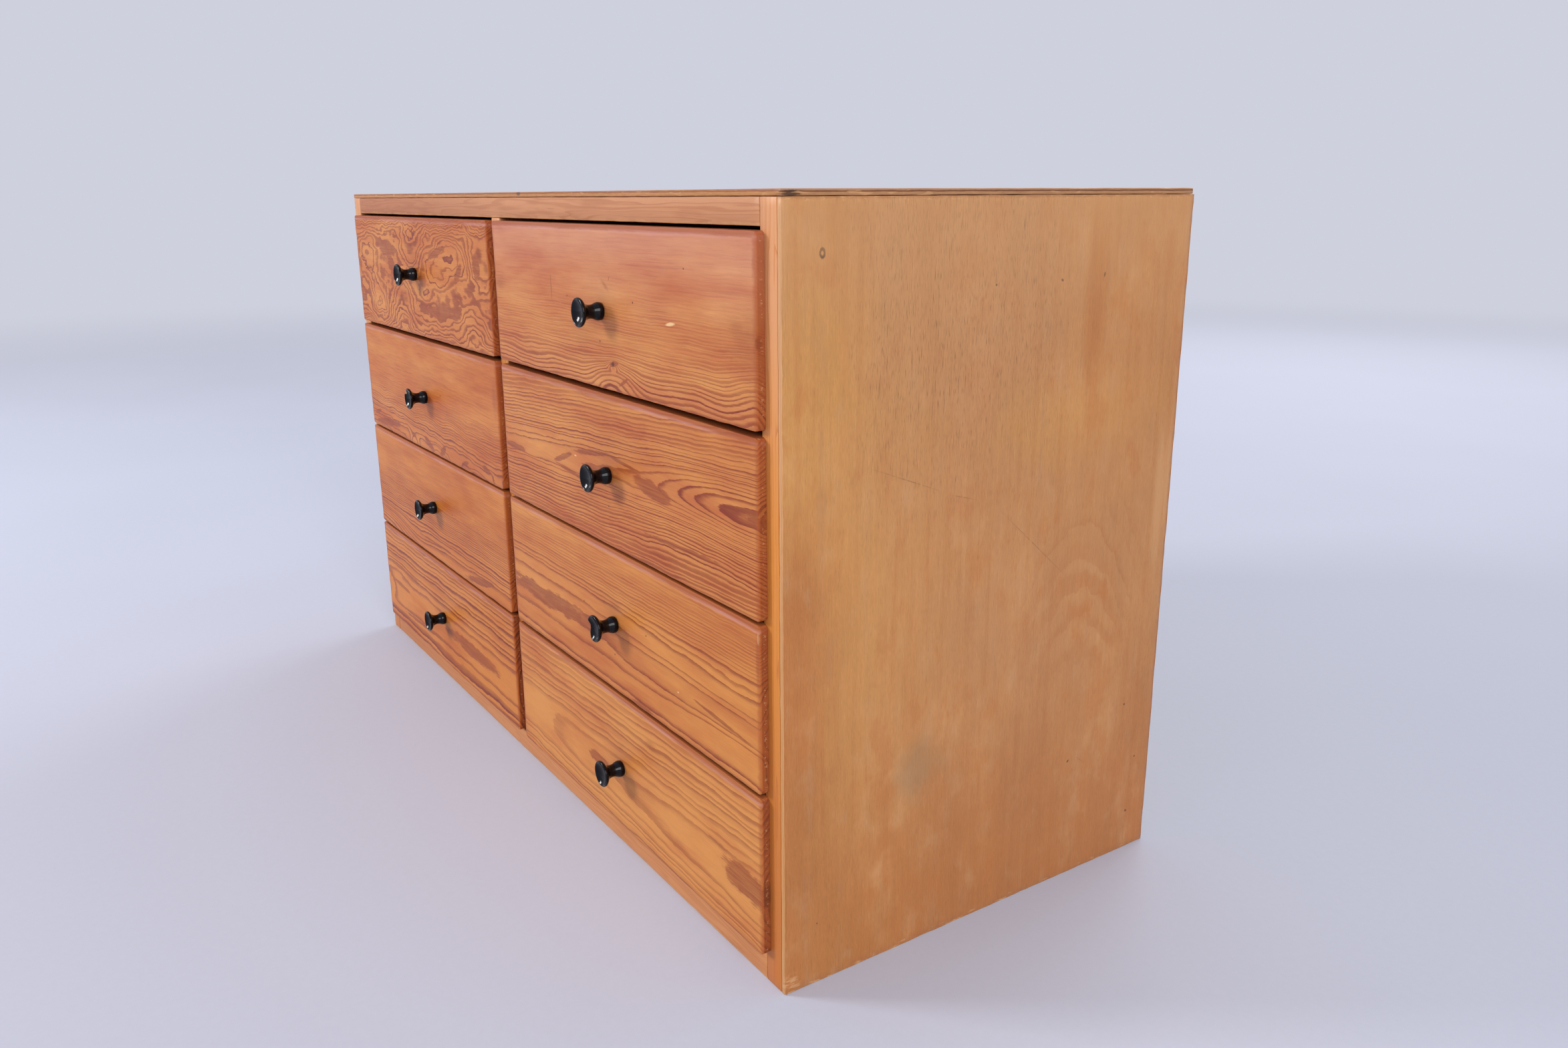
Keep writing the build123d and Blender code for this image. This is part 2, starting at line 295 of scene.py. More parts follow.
class Finish(Nodes):
    """A material under construction, with its place on the board in millimetres."""

    def __init__(self, name, origin=(0, 0, 0), signs=(1, 1, 1)):
        """origin is the place, in metres, that the millimetres count from; signs turn them."""
        self.material = bpy.data.materials.new(name)
        self.material.use_nodes = True
        self.tint = None
        super().__init__(self.material.node_tree)
        scale = [sign / MM for sign in signs]
        start = [-place * size for place, size in zip(origin, scale)]
        self.place = self.mapping(
            self.node("TexCoord", output="Object"), "POINT", Location=start, Scale=scale
        )
        parts = self.node("SeparateXYZ", None, (self.place,))
        self.x, self.y, self.z = (Wire(self, socket) for socket in parts.socket.node.outputs)

    def mapping(self, vector, kind, **sockets):
        """The vector moved, turned and stretched."""
        return self.node("Mapping", {"vector_type": kind}, {"Vector": vector, **sockets})

    def grain(self, sizes, shift=0.0, detail=3.0, roughness=0.6):
        """Cloudy noise from 0 to 1 whose spots are about sizes millimetres long on each axis."""
        move = (shift, shift * 0.7, shift * 1.3)
        scale = [1 / size for size in sizes]
        place = self.mapping(self.place, "POINT", Location=move, Scale=scale)
        return self.node(
            "TexNoise",
            {"noise_dimensions": "3D"},
            {"Vector": place, "Scale": 1.0, "Detail": detail, "Roughness": roughness},
        )

    def sway(self, sizes, shift=0.0, detail=3.0, roughness=0.6):
        """The same noise from -0.5 to 0.5."""
        return self.grain(sizes, shift, detail, roughness) - 0.5

    def step(self, value, low, high):
        """0 below low and 1 above high, with a soft passage between; low may be the larger."""
        return self.node(
            "MapRange",
            {"interpolation_type": "SMOOTHSTEP"},
            {"Value": value, "From Min": low, "From Max": high},
        )

    def reach(self, centre, sizes, turn=0.0, about="Y"):
        """Distance from centre: 1 on the rim of the oval with these half sizes."""
        turns = [turn if axis == about else 0.0 for axis in "XYZ"]
        place = self.mapping(
            self.place, "TEXTURE", Location=centre, Rotation=turns, Scale=sizes
        )
        return self.node("VectorMath", {"operation": "LENGTH"}, (place,), "Value")

    def hill(self, centre, sizes, height, turn=0.0):
        """A smooth hill of this height over the oval."""
        return self.node(
            "MapRange",
            {"interpolation_type": "SMOOTHERSTEP"},
            {"Value": self.reach(centre, sizes, turn), "To Min": height, "To Max": 0.0},
        )

    def spot(self, centre, sizes, turn, soft, ragged=None, about="Y"):
        """1 inside the oval and 0 outside, with a soft rim that ragged noise can break up."""
        reach = self.reach(centre, sizes, turn, about)
        if ragged is not None:
            reach = reach + ragged
        return self.step(reach, 1.0, 1.0 - soft)

    def mix(self, amount, first, second, blend="MIX"):
        """Colours mixed: first where amount is 0, second where it is 1."""
        first, second = (c if isinstance(c, Wire) else (*c, 1) for c in (first, second))
        return self.node(
            "Mix",
            {"data_type": "RGBA", "blend_type": blend, "clamp_factor": True},
            {0: amount, 6: first, 7: second},
            2,
        )

    def shade(self, tint, amount):
        """The colour times a grey of this amount."""
        grey = self.node("CombineColor", None, (amount, amount, amount))
        return self.mix(1.0, tint, grey, "MULTIPLY")

    def lay(self, amount, tint):
        """Lays this colour over the finish where amount is 1."""
        self.tint = self.mix(amount, self.tint, tint)

    def tone(self, amount):
        """Darkens or lightens the finish: 1 leaves it as it is."""
        self.tint = self.shade(self.tint, amount)

    def bump(self, height, depth):
        """Surface relief: depth is in metres for a height of 1."""
        return self.node(
            "Bump", None, {"Strength": 1.0, "Distance": depth, "Height": height}, "Normal"
        )

    def close(self, roughness, relief, coat=0.0, coat_roughness=0.2, gloss=0.5, metal=0.0):
        """Joins the surface's channels in the shader and gives the material."""
        sockets = {
            "Base Color": self.tint,
            "Roughness": roughness,
            "Metallic": metal,
            "Specular IOR Level": gloss,
            "Coat Weight": coat,
            "Coat Roughness": coat_roughness,
            "Normal": relief,
        }
        self.node("OutputMaterial", None, (self.node("BsdfPrincipled", None, sockets),))
        return self.material


def rings_to_late_wood(f, rings, start, passage, unevenness):
    """Dark late wood of each whole ring, and a chance value for each ring.

    The late wood comes on softly at the age start, from 0 to 1, and ends in a sharp line.
    """
    uneven = f.node(
        "TexNoise", {"noise_dimensions": "1D"}, {"W": rings, "Scale": 0.9, "Detail": 1.0}
    )
    rings = rings + (uneven - 0.5) * unevenness
    age = rings.maths("FRACT")
    floor = rings.maths("FLOOR")
    chance = f.node("TexWhiteNoise", {"noise_dimensions": "1D"}, {"W": floor}, "Value")
    begin = chance * 0.2 - 0.1 + start
    late = f.step(age, begin, begin + passage) * f.step(age, 1.0, 0.94)
    return late * (chance * 0.5 + 0.52), chance


# --------------------------------------------------------- figure of the fronts


class Figure(NamedTuple):
    """How the wood of one front is figured.

    Places are in millimetres along from the front's left end and down from its top.
    Values at heights are pairs of (height, value).
    """

    rows: tuple  # rings counted at heights
    hills: tuple  # (along, down, half length, half height, turn in degrees, rings gained)
    flames: tuple  # dark patches: (along, down, half length, half height, turn in degrees)
    start: tuple  # age, from 0 to 1, at which late wood comes on, at heights
    show: tuple  # how strongly the late wood shows, at heights
    wander: float  # how far the lines stray up and down
    waves: float  # slow unevenness, in rings
    jags: float  # quick raggedness, in rings
    red: float  # how much of the front is reddish
    deep: float  # how much the deep orange darkens it: its own tone, and painted shade, strongest on the left column
    strength: float  # of the lines against the light wood
    slant: float = 0.0  # how far the rows rise for each millimetre along
    lean: float = 0.0  # rings gained for each millimetre along
    band: float = 0.08  # share of a ring by which late wood starts sooner
    wave_sizes: tuple = (58, 24, 16)  # length of the waves on each axis
    upper_sheen: float = 0.0  # painted sheen, milky, over the upper part
    end: float = 0.45  # strength of the end grain


FIGURES = {
    "right_1": Figure(
        rows=((0, 0), (45, 17), (60, 24), (72, 30), (84, 35), (95, 38.6), (106.5, 42)),
        hills=(
            (214, 100, 58, 24, 0, 3.6), (213, 90, 15, 6, 0, 2.4), (405, 84, 60, 42, 0, 3.0),
            (60, 100, 70, 24, 0, -0.8), (318, 98, 60, 20, 0, 0.9),
        ),
        flames=((214, 89, 8, 2.2, 12), (228, 100, 9, 1.5, 25)),
        start=((0, 0.4), (84, 0.42), (106.5, 0.52)),
        show=((0, 0.1), (44, 0.16), (56, 0.3), (72, 0.46), (84, 0.7), (95, 1.0), (106.5, 1.2)),
        wander=1.5, waves=0.3, jags=0.12, red=0.58, deep=0.0, upper_sheen=0.4, strength=1.0,
    ),
    "right_2": Figure(
        rows=(
            (0, 21), (20, 15), (36, 9.2), (41, 7), (48, 4.9), (56, 3.9), (63, 3.6), (68, 4.3),
            (80, 8.4), (95, 14), (108.5, 19),
        ),
        hills=(
            (396, 47, 176, 34, -2, -3.3), (300, 80, 170, 24, 0, 1.8), (0, 64, 34, 8, 0, -0.7),
            (52, 63, 26, 5, 0, -0.6),
        ),
        flames=(
            (264, 53, 26, 7.5, -6), (300, 84, 60, 2.2, 2), (392, 47, 9, 5, 0), (22, 63, 24, 3, 0),
            (119, 55, 21, 2.8, 17), (170, 43, 34, 2.2, 7), (224, 42, 26, 1.6, -4),
            (130, 64, 30, 1.8, -5),
        ),
        start=((0, 0.45), (36, 0.5), (56, 0.62), (70, 0.5), (108.5, 0.42)),
        show=((0, 0.5), (18, 0.7), (36, 0.9), (90, 0.9), (98, 0.7), (108.5, 0.6)),
        slant=0.042, lean=-0.0052, band=0.06, wander=1.6, waves=0.26, jags=0.14, red=0.5,
        deep=0.35, strength=1.3,
    ),
    "right_3": Figure(
        rows=(
            (0, 22), (12, 17), (36, 7.2), (41, 6), (49, 5), (60, 4.2), (70, 4.1), (79, 4.45),
            (92, 5.3), (101, 6.2), (110.5, 7.2),
        ),
        hills=(
            (400, 50, 330, 26, 0, 1.2), (400, 88, 170, 16, 0, 0.9), (285, 70, 150, 22, 0, -0.4),
            (400, 70, 120, 22, 0, -0.4),
        ),
        flames=((70, 69, 82, 8.5, 1), (350, 75, 40, 1.6, -4), (236, 106, 16, 2.6, 0)),
        start=((0, 0.5), (40, 0.6), (60, 0.7), (110.5, 0.62)),
        show=((0, 0.25), (10, 0.45), (22, 0.7), (40, 0.9), (110.5, 0.95)),
        lean=-0.0008, band=0.2, wander=1.6, waves=0.16, jags=0.12, red=0.3, deep=0.5,
        strength=0.92, end=0.75,
    ),
    "right_4": Figure(
        rows=(
            (0, 12.6), (10, 10.7), (24, 8.1), (32, 6.7), (40, 5.3), (46, 4.4), (51, 3.65),
            (58, 3.0), (67, 2.75), (78, 3.04), (84, 3.4), (92, 4.6), (103, 6.6), (112.5, 9),
        ),
        hills=((36, 67, 104, 22, 0, 0.5),),
        flames=((160, 66, 22, 6, 0), (376, 64, 36, 12, -4)),
        start=((0, 0.46), (46, 0.6), (84, 0.62), (112.5, 0.5)),
        show=((0, 0.8), (112.5, 0.9)),
        lean=-0.0052, band=0.2, wander=2.2, waves=0.18, jags=0.14, red=0.12, deep=0.25,
        strength=0.72, end=0.85,
    ),
    "left_1": Figure(
        rows=(
            (0, 16.5), (8, 13.6), (16, 11.9), (55, 11.2), (86, 11.9), (98, 14.2), (106.5, 16.5),
        ),
        hills=(
            (38, 36, 60, 32, 0, -2.6), (72, 88, 50, 40, -30, -3.2), (150, 84, 56, 46, 25, 3.6),
            (190, 22, 54, 42, 10, 3.2), (272, 36, 90, 36, 8, -3.0), (318, 28, 60, 30, -14, -1.5),
            (248, 22, 30, 14, 0, 0.9), (378, 30, 50, 44, 0, 3.4), (352, 92, 54, 34, 0, 2.4),
            (226, 66, 36, 14, 0, -1.2),
        ),
        flames=(
            (110, 27, 26, 9, 4), (122, 42, 12, 8, -30), (36, 34, 9, 3.6, 0),
            (253, 81, 34, 7.5, 0), (303, 80, 20, 6.5, 5), (262, 27, 26, 4, 12),
            (318, 44, 14, 5, 40), (366, 36, 9, 12, 12), (8, 46, 7, 6, 0), (168, 50, 8, 3, 50),
        ),
        start=((0, 0.56), (106.5, 0.58)),
        show=((0, 0.9), (106.5, 1)),
        band=0.14, wander=7.5, waves=1.5, jags=0.18, wave_sizes=(30, 20, 13), red=0.5, deep=0.4,
        strength=1.2,
    ),
    "left_2": Figure(
        rows=((0, 34), (50, 20), (65, 13.5), (85, 5.6), (94, 3.4), (102, 2.0), (108.5, 1.4)),
        hills=(
            (60, 106, 90, 14, 0, -0.6), (146, 112, 34, 24, 0, 2.4), (222, 112, 40, 24, 0, -1.6),
            (270, 114, 30, 22, 0, 1.8), (330, 112, 44, 20, 0, -1.2), (384, 110, 26, 20, 0, 1.4),
        ),
        flames=(
            (60, 99, 50, 5, 5), (22, 92, 16, 3, 12), (196, 100, 14, 4, -20),
            (238, 101, 10, 4, 25), (357, 98, 12, 3.4, -10), (300, 102, 12, 2.6, 15),
        ),
        start=((0, 0.4), (70, 0.42), (90, 0.55), (108.5, 0.6)),
        show=((0, 0.08), (50, 0.16), (64, 0.42), (84, 0.9), (108.5, 1)),
        lean=0.0105, band=0.1, wander=3.2, waves=0.8, jags=0.16, red=0.5, deep=0.7, strength=1.3,
    ),
    "left_3": Figure(
        rows=(
            (0, 50), (20, 38), (40, 27), (55, 18.5), (70, 11), (80, 7.6), (90, 5.1), (100, 3.5),
            (110.5, 2.9),
        ),
        hills=(
            (-30, 112, 240, 42, 0, -4.5), (330, 96, 110, 14, 3, -0.35), (120, 96, 90, 20, 0, 1.2),
        ),
        flames=((318, 99, 44, 4.6, 7), (190, 92, 60, 1.2, 1)),
        start=((0, 0.4), (70, 0.45), (90, 0.58), (110.5, 0.6)),
        show=((0, 0.14), (36, 0.28), (50, 0.5), (76, 0.85), (110.5, 0.95)),
        band=0.16, wander=1.7, waves=0.22, jags=0.12, red=0.3, deep=0.95, strength=1.3,
    ),
    "left_4": Figure(
        rows=(
            (0, 11.6), (10, 9.4), (20, 7.5), (30, 5.7), (40, 4.4), (47, 3.4), (52, 2.6),
            (58, 2.25), (76, 2.2), (82, 2.4), (86, 2.75), (92, 3.4), (103, 4.5), (112.5, 5.6),
        ),
        hills=(
            (-10, 70, 66, 26, 0, 1.3), (250, 104, 160, 16, 0, -0.5), (40, 42, 80, 16, 0, -0.7),
        ),
        flames=(
            (276, 67, 84, 8.6, 0), (130, 88, 70, 2.2, 2), (45, 61, 36, 2.6, -2),
            (60, 40, 60, 1.8, 0),
        ),
        start=((0, 0.5), (47, 0.6), (86, 0.6), (112.5, 0.5)),
        show=((0, 0.85), (112.5, 0.95)),
        band=0.2, wander=2.3, waves=0.16, jags=0.12, red=0.12, deep=0.9, strength=1.2, end=0.85,
    ),
}

# Marks on the fronts: (along, down, half length, half height, turn in degrees)
MARKS = {
    "right_1": {
        "smudge": (
            (10, 45, 17, 8, 0), (377, 50, 18, 7, 0), (205, 36, 10, 3, -30), (400, 56, 56, 34, 0),
        ),
        "hole": (
            (142, 47, 0.9, 0.7, 0), (246, 45, 1.1, 0.9, 0), (194, 75, 1.1, 0.9, 0),
            (315, 20, 0.9, 0.8, 0), (213, 89, 3.2, 2.0, 10),
        ),
        "scratch": ((114, 42, 0.9, 13, 3), (212, 31, 0.6, 2.6, -30), (282, 48, 14, 0.35, 1)),
        "chip": ((296, 55, 7.4, 1.5, 5),),
        "bruise": ((395, 58, 2.4, 5.5, 0),),
    },
    "right_2": {
        "chip": ((142, 50, 2.2, 0.6, 0),),
        "hole": ((196, 78, 1.1, 0.8, 0),),
        "smudge": ((214, 66, 14, 5, 0),),
    },
    "right_3": {
        "hole": ((144, 51, 1.0, 0.8, 0), (247, 48, 1.0, 0.8, 0), (195, 79, 1.1, 0.8, 0)),
        "chip": ((292, 75, 1.2, 0.8, 0),),
        "scratch": ((234, 107, 5, 0.6, 0),),
        "smudge": ((200, 40, 13, 4, 0), (393, 20, 3, 22, 0)),
        "pale": ((394, 4, 1.6, 5, 0),),
    },
    "right_4": {
        "smudge": ((248, 18, 12, 5, 0), (340, 52, 26, 3, -3)),
    },
    "left_1": {
        "hole": ((195, 75, 1.1, 0.8, 0),),
        "smudge": ((222, 44, 16, 2.2, -8),),
    },
    "left_2": {
        "hole": ((243, 46, 1.0, 0.8, 0), (258, 62, 0.9, 0.7, 0)),
        "smudge": ((388, 30, 8, 22, 0),),
    },
    "left_3": {
        "hole": ((145, 50, 1.0, 0.8, 0), (250, 49, 1.0, 0.8, 0)),
    },
    "left_4": {
        "smudge": ((206, 66, 12, 6, 0),),
        "hole": ((232, 68, 0.9, 0.8, 0),),
    },
}

# How far below the board's top the heights in these lists count from, in millimetres
FIGURE_START = 4.0
# How far past both ends of a board its rows go on, and the steps of their ramp
BEYOND = 24.0
RAMP_STEPS = 30
# How deep marks go into the wood, and how deep a bruise of the surface goes
THROUGH = 30
SHALLOW = 2.8


def row_levels(f, place, rows, height, go_on=True):
    """A value that follows the rows' levels over the height; it can go on past both ends."""

    def level_at(v):
        pairs = list(zip(rows, rows[1:]))
        (start, low), (end, high) = next((p for p in pairs if v <= p[1][0]), pairs[-1])
        share = (v - start) / (end - start)
        return low + (high - low) * (share if go_on else min(1.0, max(0.0, share)))

    whole = height + 2 * BEYOND
    levels = [level_at(whole * step / RAMP_STEPS - BEYOND) for step in range(RAMP_STEPS + 1)]
    least = min(levels)
    span = max(max(levels) - least, 1e-6)
    stops = [(step / RAMP_STEPS, (level - least) / span) for step, level in enumerate(levels)]
    ramp = f.node("ValToRGB", {"stops": stops}, ((place + BEYOND) / whole,))
    return ramp * span + least


def marks_of(f, kind, marks, ragged):
    """Where the marks of one kind lie on the board."""
    soft = 0.95 if kind == "smudge" else 0.5
    deep = SHALLOW if kind == "bruise" else THROUGH
    found = [
        f.spot((u, 2, v), (long, deep, tall), math.radians(turn), soft, ragged)
        for u, v, long, tall, turn in marks
    ]
    return reduce(Wire.larger, found)


def pine_front(drawer):
    """Waxed pine of one front, with its own figure, marks and darkened edges."""
    look = bpy.context.scene.unit_fronts
    figure = FIGURES[drawer]
    low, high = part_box(f"drawer_{drawer}_front")
    width = (high[0] - low[0]) / MM
    height = (high[2] - low[2]) / MM
    f = Finish(f"pine_front_{drawer}", (low[0], low[1], high[2] - FIGURE_START * MM), (1, 1, -1))
    along, deep, down = f.x, f.y, f.z
    from_top = down + FIGURE_START
    shift = 3.7 + 11.3 * DRAWERS.index(drawer)

    # Growth rings
    slow = f.sway((46, 20, 22), shift + 7, 1.0, 0.5)
    quick = f.sway((15, 8, 9), shift + 8, 2.0, 0.5)
    stray = (slow * 2.6 + quick * 0.9) * figure.wander
    level = down + along * figure.slant + stray
    rings = row_levels(f, level, figure.rows, height)
    rings = rings + along * figure.lean - deep * 0.22 + 10
    for u, v, long, tall, turn, gain in figure.hills:
        rings = rings + f.hill((u, 0, v), (long, THROUGH, tall), gain, math.radians(turn))
    waves = f.sway(figure.wave_sizes, shift, 2.0, 0.5)
    jags = f.sway((9, 2.0, 1.0), shift)
    rings = rings + waves * (figure.waves * 2) + jags * (figure.jags * 2)
    start = row_levels(f, down, figure.start, height, False) - figure.band
    late, chance = rings_to_late_wood(f, rings, start, 0.4, 0.9)
    streaks = f.sway((34, 3, 1.5), shift + 9)
    patchy = f.sway((70, 20, 12), shift + 12, 2.0, 0.5)
    show = row_levels(f, down, figure.show, height, False)
    late = late * (show + streaks * 0.6 + patchy * 0.7) * figure.strength
    torn = jags * 0.7 + waves * 0.6 + quick * 0.8
    for u, v, long, tall, turn in figure.flames:
        flame = f.spot((u, 0, v), (long, THROUGH, tall), math.radians(turn), 0.24, torn)
        late = late.larger(flame * (streaks * 0.9 + 0.66))

    # Fibres and the colour of the wood between the lines
    clouds = f.grain((120, 40, 34), shift + 5, 3.0, 0.55)
    fibres = f.sway((16, 0.9, 0.55), shift)
    dashes = f.step(f.grain((5, 0.4, 0.32), shift, 1.0, 0.5), 0.66, 0.74)
    red = (clouds - 0.5) * 1.8 + patchy * 0.9 + figure.red + streaks * 0.8
    f.tint = f.mix(red, look.early_wood, look.early_wood_red)
    f.lay(late, f.mix(chance, look.late_wood, look.late_wood_purple))
    f.tone(fibres * 0.34 + streaks * 0.16 + 1.0 - dashes * 0.12)
    # The board's own tone, and painted shade, strongest on the left column's fronts
    f.lay(figure.deep, f.mix(1.0, f.tint, look.deep_orange, "MULTIPLY"))
    # Painted sheen: a milky lilac tint over the upper part of the board
    if figure.upper_sheen:
        f.lay(f.step(from_top + clouds * 60, 100.0, 20.0) * figure.upper_sheen, look.painted_sheen)

    # Knocks and spots
    torn = jags * 0.7 + streaks * 0.5
    for kind, strength, stain in (
        ("smudge", 0.36, look.late_wood_purple),
        ("scratch", 0.65, look.scratch),
        ("bruise", 0.8, look.grime),
        ("hole", 0.85, look.grime),
        ("pale", 0.5, look.bare_wood),
        ("chip", 0.9, look.bare_wood),
    ):
        if kind in MARKS[drawer]:
            found = marks_of(f, kind, MARKS[drawer][kind], torn)
            f.lay(found * strength, stain)

    # Darkened edges, partly old wax and partly painted shade on the ends and the rounded top edge,
    # with a painted lilac sheen along the upper arris
    side = along.smaller(width - along)
    end = from_top.smaller(height - from_top)
    worn = f.sway((9, 4, 4), shift + 2)
    # Old wax, and painted shade on the ends and on the rounded top edge
    edge = f.step(side + worn * 4, 4.6, 0.4) * 0.6
    edge = edge.larger(f.step(end + worn * 2, 3.4, 0.4) * 0.5)
    edge = edge.larger(f.step(from_top + worn * 1.6, 4.4, 3.0) * 0.72)
    f.lay(edge, look.edge)
    # Painted highlight: patches of lilac sheen along the rounded upper arris
    patches = f.step(f.grain((60, 6, 5), shift + 14), 0.3, 0.7)
    painted_sheen = f.step(from_top, 2.0, 3.2) * f.step(from_top + worn * 2, 5.8, 4.2) * patches
    f.lay(painted_sheen * 0.5, look.painted_sheen)

    # End grain, painted shade on the top and bottom faces in the gaps, and bare specks on the ends
    end_grain = f.step(side, 1.2, 0.2) * f.step(deep, 0.6, 2.0) * figure.end
    f.lay(end_grain, f.mix(late * 0.65 + 0.3, look.edge, look.grime))
    # Painted shade: the top and bottom faces, in the gaps between the fronts, darkened
    gap_shade = f.step(end + worn * 1.6, 0.9, 0.1) * f.step(deep, 0.6, 2.4)
    f.lay(gap_shade * 0.5, look.grime)
    specks = f.step(f.grain((3, 3, 1.6), shift + 15, 3.0, 0.7), 0.56, 0.64)
    round_edge = side + deep
    arris = f.step(round_edge, 2.6, 3.4) * f.step(round_edge, 5.2, 4.2) * f.step(side, 3.2, 2.4)
    f.lay(specks * arris * 0.26, look.bare_wood)

    relief = f.bump(fibres * 0.5 + late * 0.5, 0.00012)
    roughness = 0.4 - late * 0.06 + (clouds - 0.5) * 0.2
    return f.close(roughness, relief, 0.03, 0.2, 0.12)


# ------------------------------------------------------------- other finishes

# Where the millimetres of the bare wood inside count from, in metres
INSIDE_START = (0.5, 0.2, 0)
# Height of the stiles and the divider, in millimetres
UPRIGHT_HEIGHT = 480


def long_on(axis, long, across):
    """Sizes of grain that is long on one axis and short across it."""
    return [long if each == axis else across for each in range(3)]


def planed_stick(f, axis, light, line, spacing, strength, streak, shift):
    """Straight-grained softwood along one axis. Gives its late wood, fibres and clouds."""
    fibres = f.grain(long_on(axis, 15, 0.5), shift)
    waves = f.sway(long_on(axis, 160, 9), shift, 2.0, 0.5)
    clouds = f.sway(long_on(axis, 800, 45), shift + 4)
    across = [(f.x, f.y, f.z)[each] for each in range(3) if each != axis]
    rings = across[0] / spacing + across[1] / (spacing * 1.6) + waves * 5 + 40
    late, _ = rings_to_late_wood(f, rings, 0.5, 0.35, 1.1)
    f.tint = f.mix(late * strength, light, line)
    f.tone((fibres - 0.5) * streak + clouds * 0.22 + 1.0)
    return late, fibres, clouds


def varnished(f, late, fibres, clouds, gloss):
    """Closes the finish of a varnished stick."""
    relief = f.bump(fibres * 0.6 + late * 0.4, 0.0001)
    return f.close(0.4 + clouds * 0.2, relief, 0.04, 0.25, gloss)


def upright_finish(name, origin, shift):
    """Varnished upright stick: paler at the top, deeper and redder lower down."""
    look = bpy.context.scene.unit_sticks
    f = Finish(name, origin)
    colours = look.stile, look.stile_line
    late, fibres, clouds = planed_stick(f, 2, *colours, 4.2, 0.6, 0.26, shift)
    low_part = f.step(f.z + clouds * 160, UPRIGHT_HEIGHT * 0.7, UPRIGHT_HEIGHT * 0.05)
    f.lay(low_part * 0.65, look.stile_line)
    top_part = f.step(f.z + clouds * 160, UPRIGHT_HEIGHT * 0.62, UPRIGHT_HEIGHT)
    f.lay(top_part * (0.8 - late * 0.5), look.stile_pale)
    return varnished(f, late, fibres, clouds, 0.2)


def rail_finish(name, origin, shift, pale):
    """Varnished rail, reddish, with a rubbed lower edge; pale mixes in the uprights' colour."""
    look = bpy.context.scene.unit_sticks
    f = Finish(name, origin)
    colours = look.rail, look.rail_line
    late, fibres, clouds = planed_stick(f, 0, *colours, 3.4, 0.5, 0.2, shift)
    # Painted shade: darker towards the left end of the rail
    f.lay(f.step(f.x + clouds * 500, 460, 0) * 0.55, look.rail_line)
    purple = f.step(f.grain((90, 20, 9), shift + 9), 0.5, 0.72)
    f.lay(purple * 0.3, look.rail_line)
    rub = f.step(f.z + f.sway((14, 3, 3), shift + 2) * 4, 2.2, 0.4)
    f.lay(rub * 0.5, look.rail_worn)
    if pale:
        f.lay(pale, look.stile)
    return varnished(f, late, fibres, clouds, 0.1)


def bare_stick(name, axis, shift):
    """Unvarnished planed softwood inside the unit."""
    look = bpy.context.scene.unit_inside
    f = Finish(name, INSIDE_START)
    colours = look.box_wood, look.box_line
    late, fibres, clouds = planed_stick(f, axis, *colours, 5.0, 0.5, 0.2, shift)
    relief = f.bump(fibres * 0.7 + late * 0.3, 0.00012)
    return f.close(0.62 + clouds * 0.15, relief)


def bare_ply(name, axis, shift):
    """Unvarnished plywood with faint wide figure and dark pores."""
    look = bpy.context.scene.unit_inside
    f = Finish(name, INSIDE_START)
    fibres = f.grain(long_on(axis, 13.2, 0.6), shift)
    waves = f.grain(long_on(axis, 240, 26), shift, 3.0, 0.5)
    late, _ = rings_to_late_wood(f, waves * 9 + 20, 0.4, 0.5, 1.1)
    f.tint = f.mix(late * 0.3, look.bare_ply, look.box_line)
    pores = f.step(f.grain(long_on(axis, 11, 0.5), shift + 3, 1.0, 0.5), 0.66, 0.76)
    f.tone((fibres - 0.5) * 0.22 + 1.0 - pores * 0.14)
    relief = f.bump(fibres - pores * 0.5, 0.00012)
    return f.close(0.66 + (waves - 0.5) * 0.15, relief)


# Half width of a spot that goes through a side panel, in millimetres
ALL_THROUGH = 60
# Place of the dent in the right side, from the front and above the floor, in metres
DENT_BACK = 0.0277
DENT_UP = 0.4655

# Marks on the veneer of the right side: (from the front, above the floor, half
# width, half height, turn in degrees)
SIDE_DARK_MARKS = (
    (160.0, 442.5, 1.0, 1.0, 0), (218.0, 443.0, 1.6, 1.1, 20), (257.5, 445.0, 1.0, 2.2, 15),
    (310.0, 124.5, 1.2, 1.0, 0), (321.0, 32.0, 1.5, 1.2, 30), (326.5, 77.0, 1.2, 0.9, 0),
    (251.5, 94.0, 1.8, 1.0, -35), (25.0, 44.0, 0.7, 0.7, 0),
)
SIDE_SCRATCHES = (
    (92.0, 328.0, 38.0, 0.6, 21), (139.0, 310.5, 15.0, 0.5, 16),
    (205.0, 268.0, 58.0, 0.5, 41), (264.0, 92.0, 7.0, 0.3, 38),
)


def side_spot(f, back, up, wide, tall, soft, ragged=None, turn=0):
    """A spot on a side panel, in millimetres from the front and above the floor."""
    sizes = (ALL_THROUGH, wide, tall)
    return f.spot((0, back, up), sizes, math.radians(-turn), soft, ragged, "X")


def side_marks(f, marks, soft):
    """All the marks of one list on a side panel."""
    found = [side_spot(f, *place, soft, turn=turn) for *place, turn in marks]
    return reduce(Wire.larger, found)


